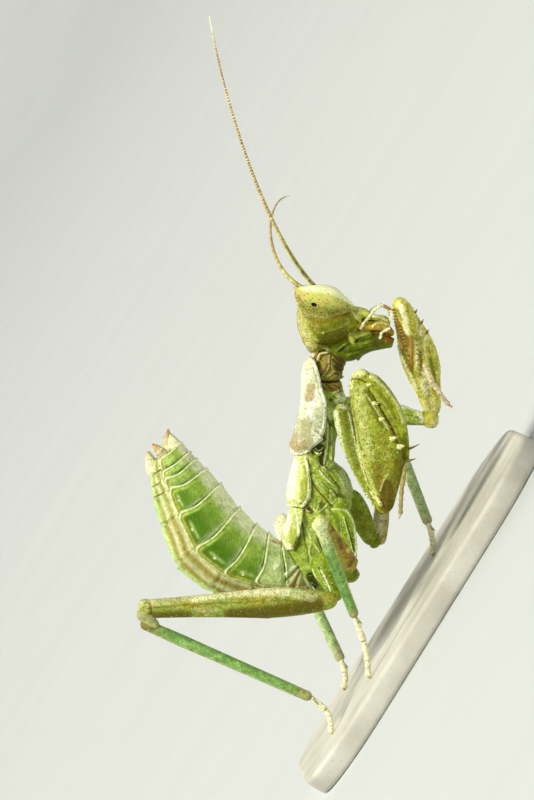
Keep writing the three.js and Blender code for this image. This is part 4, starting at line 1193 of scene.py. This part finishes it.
pink_foot = cuticle("raised foot", "dccc98", "cfc684", "f6eed0", "8a7a3c", "c07a3a", spots=0.2, grains=0.15,
                    relief=0.5)
foreleg_foot = foot((4.55, -0.1, 6.45), (5.6, 0.5, 4.8), (-0.06, -0.05, -0.05), 0.11, 0.22, (0.6, 0, -0.2),
                    ((0.6, 0, 0.35), (0, 0, 0.8)))
stand("fore_foot_left", foreleg_foot, pink_foot, "feet", "fore_tarsus_left")

# ---- walking legs ------------------------------------------------------------------------------------
# Four slim legs that hold the animal on its base, each a ridged coxa, a femur, a straight tibia that ends
# in spurs, and a foot of five joints. The hind femurs are deep, with a painted highlight along their tops and
# painted shade along their undersides.

WALK_COXA = [0.3, 0.44, 0.46, 0.38, 0.24]
MIDDLE_FEMUR = [0.25, 0.33, 0.31, 0.28, 0.26, 0.27, 0.2]
HIND_FEMUR = [0.28, 0.46, 0.57, 0.61, 0.57, 0.51, 0.46, 0.42, 0.39, 0.34]
SHIN = [0.2, 0.24, 0.23, 0.22, 0.21, 0.2]
FOOT_THICK, CLAW = 0.13, 0.3
DOWN = Vector((math.sin(LEAN), 0, -math.cos(LEAN)))

walk_finish = {
    "coxa": cuticle("hip green", "829a10", "90a820", "d6e4a8", "465000", "80501c", spots=0.4, grains=0.4),
    "hind_thigh": cuticle("hind thigh", "a6a22e", "98ac48", "ecebb8", "625a00", "704410", spots=0.8,
                          grains=0.4, speck="704a14", size=6),
    "middle_thigh": cuticle("middle thigh", "b0a02c", "9c9226", "e0dc70", "6a5a00", "8a4410", spots=0.7,
                            grains=0.3, speck="703408"),
    # the far side's thigh and shin finishes are paler copies of the others, painted light for the legs on the
    # far side
    "far_thigh_painted_light": cuticle("far thigh painted light", "c8bf7e", "b5b068", "e8e4c0", "7c7430", "80501c", spots=0.5,
                         grains=0.4),
    "far_shin_painted_light": cuticle("far shin painted light", "b6cc90", "a6c07e", "e8eac4", "7c9850", "85602a", spots=0.4, grains=0.3,
                        relief=0.6),
    "shin": cuticle("shin green", "88b460", "78a450", "dce4a4", "56803c", "85602a", spots=0.8, grains=0.3,
                    speck="704a10", relief=0.8),
}

WALKING = {
    "middle_right": {
        "thigh": MIDDLE_FEMUR, "hip": (0.85, -0.85, 1), "trochanter": (1.45, -1.4, -1.7),
        "femur": (1.45, -1.6, -1.92), "knee": (-0.2, -6.35, 0.35), "bow": (0.18, 0, -0.13),
        "shin": (-0.15, -6.45, 0.1), "ankle": (1.45, -4.3, -3.85), "toe": (1.93, -3.95, -6.25),
        "foot_bow": (0.13, 0, 0.02)},
    "middle_left": {
        "thigh": MIDDLE_FEMUR, "hip": (1.45, 0.95, 1.2), "trochanter": (2.5, 1.45, -1.1),
        "femur": (2.78, 1.6, -1.1), "knee": (3.3, 4.6, 3.6), "bow": (0, 0, 0),
        "shin": (3.55, 4.65, 3.45), "ankle": (4.9, 2.5, -0.3), "toe": (4.98, 2.45, -1.5),
        "foot_bow": (0.08, 0, 0.02)},
    "hind_right": {
        "thigh": HIND_FEMUR, "hip": (0, -0.85, -1.15), "trochanter": (0.8, -1.45, -3.05),
        "femur": (0.85, -1.7, -3.28), "knee": (-7.42, -2.42, -3.6), "bow": (0, 0, 0.02),
        "shin": (-7.35, -2.42, -4.15), "ankle": (-0.25, -2.2, -7.3), "toe": (0.47, -2.2, -8.68),
        "foot_bow": (0.26, 0, 0.1)},
    "hind_left": {
        "thigh": HIND_FEMUR, "hip": (0.35, 0.9, -1.05), "trochanter": (1.6, 1.4, -2.4),
        "femur": (1.75, 1.6, -2.5), "knee": (-1.05, 9.1, -0.45), "bow": (0, 0, -0.1),
        "shin": (-1, 9.05, -0.95), "ankle": (1.35, 4.6, -6.15), "toe": (1.35, 4.4, -7.22),
        "foot_bow": (0.12, 0, 0)},
}
HIP_MARKS = {
    "middle_left": drawn(".45 0  0 .3 .35  1.9 .2, 2.6 -1.1"),
    "middle_right": drawn("""
        .045 .06  1 0 0  1.22 .45, 1.42 .17, 1.52 -.12, 1.58 -.47, 1.63 -1.1, 1.56 -1.6
        .04 .05  .8 0 0  1.12 .17, 1.3 -.5, 1.5 -1.3
        .04 .05  .7 0 0  .46 .3, .65 .48, .97 .48, 1.2 .42
        .05 .04  .8 0 .3  .72 -.3, .97 -.7, 1.28 -1.1, 1.5 -1.36
        .03 -.05  0 1 .3  1.2 .1, 1.36 -.5, 1.55 -1.2
        .14 -.02  0 .6 0  .8 .2, 1 -.4
    """),
    "hind_right": drawn("""
        .045 .06  .95 0 0  -.36 -1.65, -.17 -2, .08 -2.55, .33 -2.95
        .045 .06  .95 0 0  .18 -2.05, .34 -2.36, .53 -2.75, .65 -3.08
        .03 .04  .5 0 0  -.05 -1.75, .1 -2.1, .3 -2.5, .48 -2.85
        .035 -.05  0 .9 .2  .05 -1.9, .3 -2.45, .55 -3
        .12 0  0 .5 0  .35 -1.9, .6 -2.4, .8 -2.9
    """),
}
THIGH_MARKS = {
    "hind_left": drawn(".6 0  1 0 0  -1.1 -.4, -.7 -.6"),
    "middle_left": drawn(".2 .02  .6 0 0  2.75 -.6, 3 1"),
    # hind_right: a painted highlight along the top of the femur and painted shade along its underside
    "hind_right": drawn("""
        .27 .01  .8 0 0  -5.2 -3.05, -3 -2.84, -1.3 -2.85
        .22 0  .45 0 0  -7 -3.3, -5.4 -3.1
        .25 0  .45 0 0  -1.2 -2.9, -.2 -3.1
        .3 0  0 .8 0  -6.9 -3.95, -5.5 -3.88
        .34 0  0 .85 0  -3.6 -3.85, -2 -3.72, 0 -3.45
        .14 0  .35 0 0  -5.1 -3.6, -4.2 -3.65
        .04 -.04  0 .3 .5  -7.1 -3.55, -5.5 -3.42, -3 -3.3, -.6 -3.22
        .05 .03  .2 0 .5  -6.8 -4.16, -4.5 -4.2, -2 -4.02
        .05 -.05  0 .4 .6  -6.95 -3.3, -6.9 -3.75, -7 -3.95
    """)
    + [(0.035, -0.01, (0, 0, 1), [(-6.9 + 0.33 * i, -3.55 + 0.016 * i + 0.02 * math.sin(i * 2.3))])
       for i in range(20)],
    "middle_right": drawn("""
        .3 0  0 0 .55  1.3 -1.4, .9 -.4, .4 .3
        .14 .03  .9 0 -1  1 -.55
        .1 .03  .9 0 -1  .72 -.1
        .12 .03  .9 0 -1  1.2 -1.1
        .2 0  1 0 -1  .1 .2, -.2 .5
        .1 0  0 .9 .2  .75 -.6, .9 -1
        .08 0  0 .9 0  .5 -.2, .45 .1
        .1 0  0 .8 .4  1.45 -1.5, 1.3 -1.8
    """),
}
for name, leg in WALKING.items():
    socket, trochanter, root, knee, top, ankle, toe = [Vector(leg[spot]) for spot in (
        "hip", "trochanter", "femur", "knee", "shin", "ankle", "toe")]
    sideways = abs(knee.y - socket.y) > 4
    side = (0.5, 0, -0.85) if sideways else (0, 1, 0)
    seed = sum(map(ord, name))
    hip = rolled(limb(socket, trochanter, WALK_COXA), 90, 60)
    sculpt(hip, HIP_MARKS.get(name, []))
    scatter(hip, 170, seed, 0.024, tint=(0.9 if "right" in name else 0.3, 0, 0))
    if name == "middle_right":
        spike(hip, (1.62, -1.75, -1.3), (1.24, -2.05, -2.05), 0.06, PALE, PALE)
    join(hip, rolled(limb(trochanter - (trochanter - socket) * 0.1, root, [0.26, 0.3, 0.3]), 20, 24,
                     lambda t, c, s, at: (0, 0.4, 0.3)))
    stand(name + "_hip", hip, walk_finish["coxa"], "thorax", name + "_coxa")

    hind = leg["thigh"] is HIND_FEMUR
    ridge = (lambda t, c, s: 0.025 * (hump(0.9, 0.12, c) + hump(-0.9, 0.12, c))) if hind else None
    thigh = rolled(limb(root, knee, leg["thigh"], leg["bow"], 0.8, side, ridge), 150, 64)
    if hind:  # the two lobes that hold the knee
        way = (knee - root).normalized()
        for lobe in (-0.17, 0.17):
            at = knee + Vector((0, 0, lobe))
            join(thigh, rolled(limb(at - way * 0.6, at + way * 0.02, [0.2, 0.24, 0.26, 0.24]), 24, 26,
                               lambda t, c, s, at: (0.45, 0, 0.35 * soft(0.6, 1, t))))
    sculpt(thigh, THIGH_MARKS.get(name, []))
    scatter(thigh, 160 if hind else 60, seed + 1, 0.02, tint=(0.8, 0, 0))
    scatter(thigh, 240 if hind else 120, seed + 5, 0.022, tint=(0, 0.3, 0.9))
    scatter(thigh, 90, seed + 2, 0.1, "hair", tint=PALE)
    kind = "far_thigh_painted_light" if name == "middle_left" else "hind_thigh" if hind else "middle_thigh"
    stand(name + "_thigh", thigh, walk_finish[kind], "thighs", name + "_femur")

    def stripes(u, c, s, at):
        t = crowded(u)
        return (max(0.5 * soft(0.5, 0.95, -c), 0.5 * soft(0.85, 0.97, t),
                    0.85 * soft(0.4, 0.02, t) * (not hind)),
                0.4 * soft(0.45, 0.9, c) * soft(1, 0.8, t),
                max(0.6 * soft(0.8, 1, t), 0.85 * soft(0.22, 0, t) * hind, 0.5 * hump(-0.93, 0.1, c) * hind))

    shin = rolled(limb(top, ankle, SHIN, wide=0.9, side=side,
                       relief=lambda t, c, s: 0.012 * math.cos(4 * math.atan2(s, c))), 120, 40, stripes)
    wide_knee = 0.3 if hind else 0.35
    join(shin, rolled(limb(knee, top.lerp(ankle, 0.1),
                           [wide_knee * 0.9, wide_knee, wide_knee * 0.9, 0.24]), 30, 30,
                      lambda t, c, s, at: (0.55, 0, 0.55) if name == "hind_right" else (0.85, 0, 0.1)))
    for turn in (-1, 1):
        spike(shin, ankle, ankle + Vector((0.3, 0.22 * turn, -0.3)), 0.07, (0.4, 0, 0.3), (0, 0, 1))
    scatter(shin, 120, seed + 3, 0.1, "hair", tint=PALE)
    kind = "far_shin_painted_light" if "left" in name else "shin"
    stand(name + "_shin", shin, walk_finish[kind], "shins", name + "_tibia")

    sole = foot(ankle, toe + DOWN * 0.1, leg["foot_bow"], FOOT_THICK, CLAW,
                Vector((0.53, 0, 0.85)) * 0.6 + DOWN * 0.1)
    scatter(sole, 60, seed + 4, 0.07, "hair", tint=PALE)
    stand(name + "_foot", sole, foot_finish, "feet", name + "_tarsus")

# ---- antennae ----------------------------------------------------------------------------------------
# Two long thin feelers of many short rings, on a thick first joint that sits in a socket of the face.
# Near the head the rings are yellow-green with dark centres, and farther out brown with pale nodes.

ANTENNAE = {
    "right": [(0.35, -0.42, 9.4), (-1.75, -1, 11), (-3.75, -0.85, 16.9), (-4.42, -0.83, 20.95)],
    "left": [(0.35, 0.42, 9.4), (-2.3, 0.9, 9.75), (-2, 5.8, 13.5), (-0.55, 11, 13.4)],
}
FEELER_RINGS = 118
TIP_THICK, ROOT_THICK, RING_THICK = 0.028, 0.072, 0.012  # half-widths: the tip's, and what they grow by
feeler_finish = cuticle("feeler", "c2c070", "b4a45a", "f0ecc8", "4f5420", "9a6428", spots=0.1, grains=0.1,
                        relief=0.4)
for hand, bends in ANTENNAE.items():
    root, first, second, tip = [Vector(bend) for bend in bends]

    def place(t, c, s):
        r = 1 - t
        at = root * r ** 3 + first * (3 * r * r * t) + second * (3 * r * t * t) + tip * t ** 3
        tangent = ((first - root) * (r * r) + (second - first) * (2 * r * t)
                   + (tip - second) * (t * t)).normalized()
        wide = tangent.orthogonal()
        if hand == "right":
            wide = (Vector((0, 1, 0)) - tangent * tangent.y).normalized()
        beat = (t * FEELER_RINGS) % 1
        thick = (TIP_THICK + ROOT_THICK * (1 - t) ** 1.3
                 + RING_THICK * math.sin(math.pi * beat) * (1 - 0.5 * t))
        thick *= 1.7 if t < 0.012 else 1.25 if t < 0.024 else 1
        return at + (tangent.cross(wide).normalized() * c + wide.normalized() * s) * thick

    def paint(t, c, s, at):
        beat = (t * FEELER_RINGS) % 1
        node = beat < 0.25
        far = soft(0.15, 0.5, t)
        return (max(0.9 * node * far, soft(0.85, 1, t)),
                (1 - far) * (not node) * soft(0.9, 0.2, abs(c)) * 0.9,
                far * (not node) * 0.8 * soft(1, 0.85, t))

    feeler = rolled(place, FEELER_RINGS * 4, 10, paint)
    stand(f"feeler_{hand}", feeler, feeler_finish, "antennae", f"antenna_{hand}")

# ---- camera, lights and floor ------------------------------------------------------------------------
# A pale paper sweep under soft studio lamps. The camera is turned with the animal, as it climbs.

aim_at = STANCE @ Vector((-2, 0, 5))
rise = math.radians(3)
DISTANCE, LENS = 0.4, 432
eye_line = Vector((0, -math.cos(rise), math.sin(rise)))
camera = bpy.data.objects.new("camera", bpy.data.cameras.new("camera"))
camera.data.lens = LENS
camera.data.sensor_width = 36
camera.data.clip_start, camera.data.clip_end = 0.01, 10
camera.location = aim_at + eye_line * DISTANCE
up = Vector((math.sin(LEAN), 0, math.cos(LEAN)))
up = (up - eye_line * up.dot(eye_line)).normalized()
right = up.cross(eye_line)
camera.rotation_euler = Matrix((right, up, eye_line)).transposed().to_euler()
bpy.context.scene.collection.objects.link(camera)
bpy.context.scene.camera = camera

# in metres: the sheet before and behind the animal, its bend, its upright part and half its width
FLOOR, WALL, BEND, TALL, BROAD = 2.4, 1.4, 0.4, 1, 3
sweep = bmesh.new()
bmesh.ops.create_grid(sweep, x_segments=1, y_segments=60, size=1)
for vertex in sweep.verts:
    run = (vertex.co.y + 1) / 2 * (FLOOR + WALL + BEND * math.pi / 2 + TALL) - FLOOR
    y, z = run, 0
    if run > WALL:
        turn = min((run - WALL) / BEND, math.pi / 2)
        y = WALL + BEND * math.sin(turn)
        z = BEND * (1 - math.cos(turn)) + max(run - WALL - BEND * math.pi / 2, 0)
    vertex.co = (vertex.co.x * BROAD, y, z)
bmesh.ops.recalc_face_normals(sweep, faces=sweep.faces)
paper, shader, mm = open_finish("pale paper")
shade = mm.noise(0.05, 3)
close_finish(shader, mm.mix(tone("c9cccd"), tone("c2c5c7"), shade), 0.8 + shade * 0.1, shade * 0.01)
mesh = bpy.data.meshes.new("paper_sweep")
sweep.to_mesh(mesh)
sweep.free()
mesh.shade_smooth()
mesh.materials.append(paper)
floor = bpy.data.objects.new("paper_sweep", mesh)
bpy.context.scene.collection.objects.link(floor)


def lamp(name, place, size, power, colour):
    """A soft box that faces the animal."""
    light = bpy.data.lights.new(name, "AREA")
    light.size, light.energy, light.color = size, power, colour
    made = bpy.data.objects.new(name, light)
    made.location = place
    made.rotation_euler = (aim_at - made.location).to_track_quat("-Z", "Y").to_euler()
    bpy.context.scene.collection.objects.link(made)


lamp("key", Vector((-0.48, -1.6, 2.4)), 0.96, 107, (1, 0.98, 0.86))
lamp("rim", Vector((-1.6, 1.2, 1.6)), 1.2, 29, (1, 1, 0.94))
lamp("fill", Vector((2, -2.4, 0.64)), 2, 10, (1, 0.98, 0.92))
world = bpy.data.worlds.new("studio")
world.use_nodes = True
world.node_tree.nodes["Background"].inputs["Color"].default_value = (1, 1, 0.88, 1)
world.node_tree.nodes["Background"].inputs["Strength"].default_value = 0.14
bpy.context.scene.world = world
bpy.context.scene.view_settings.view_transform = "Standard"
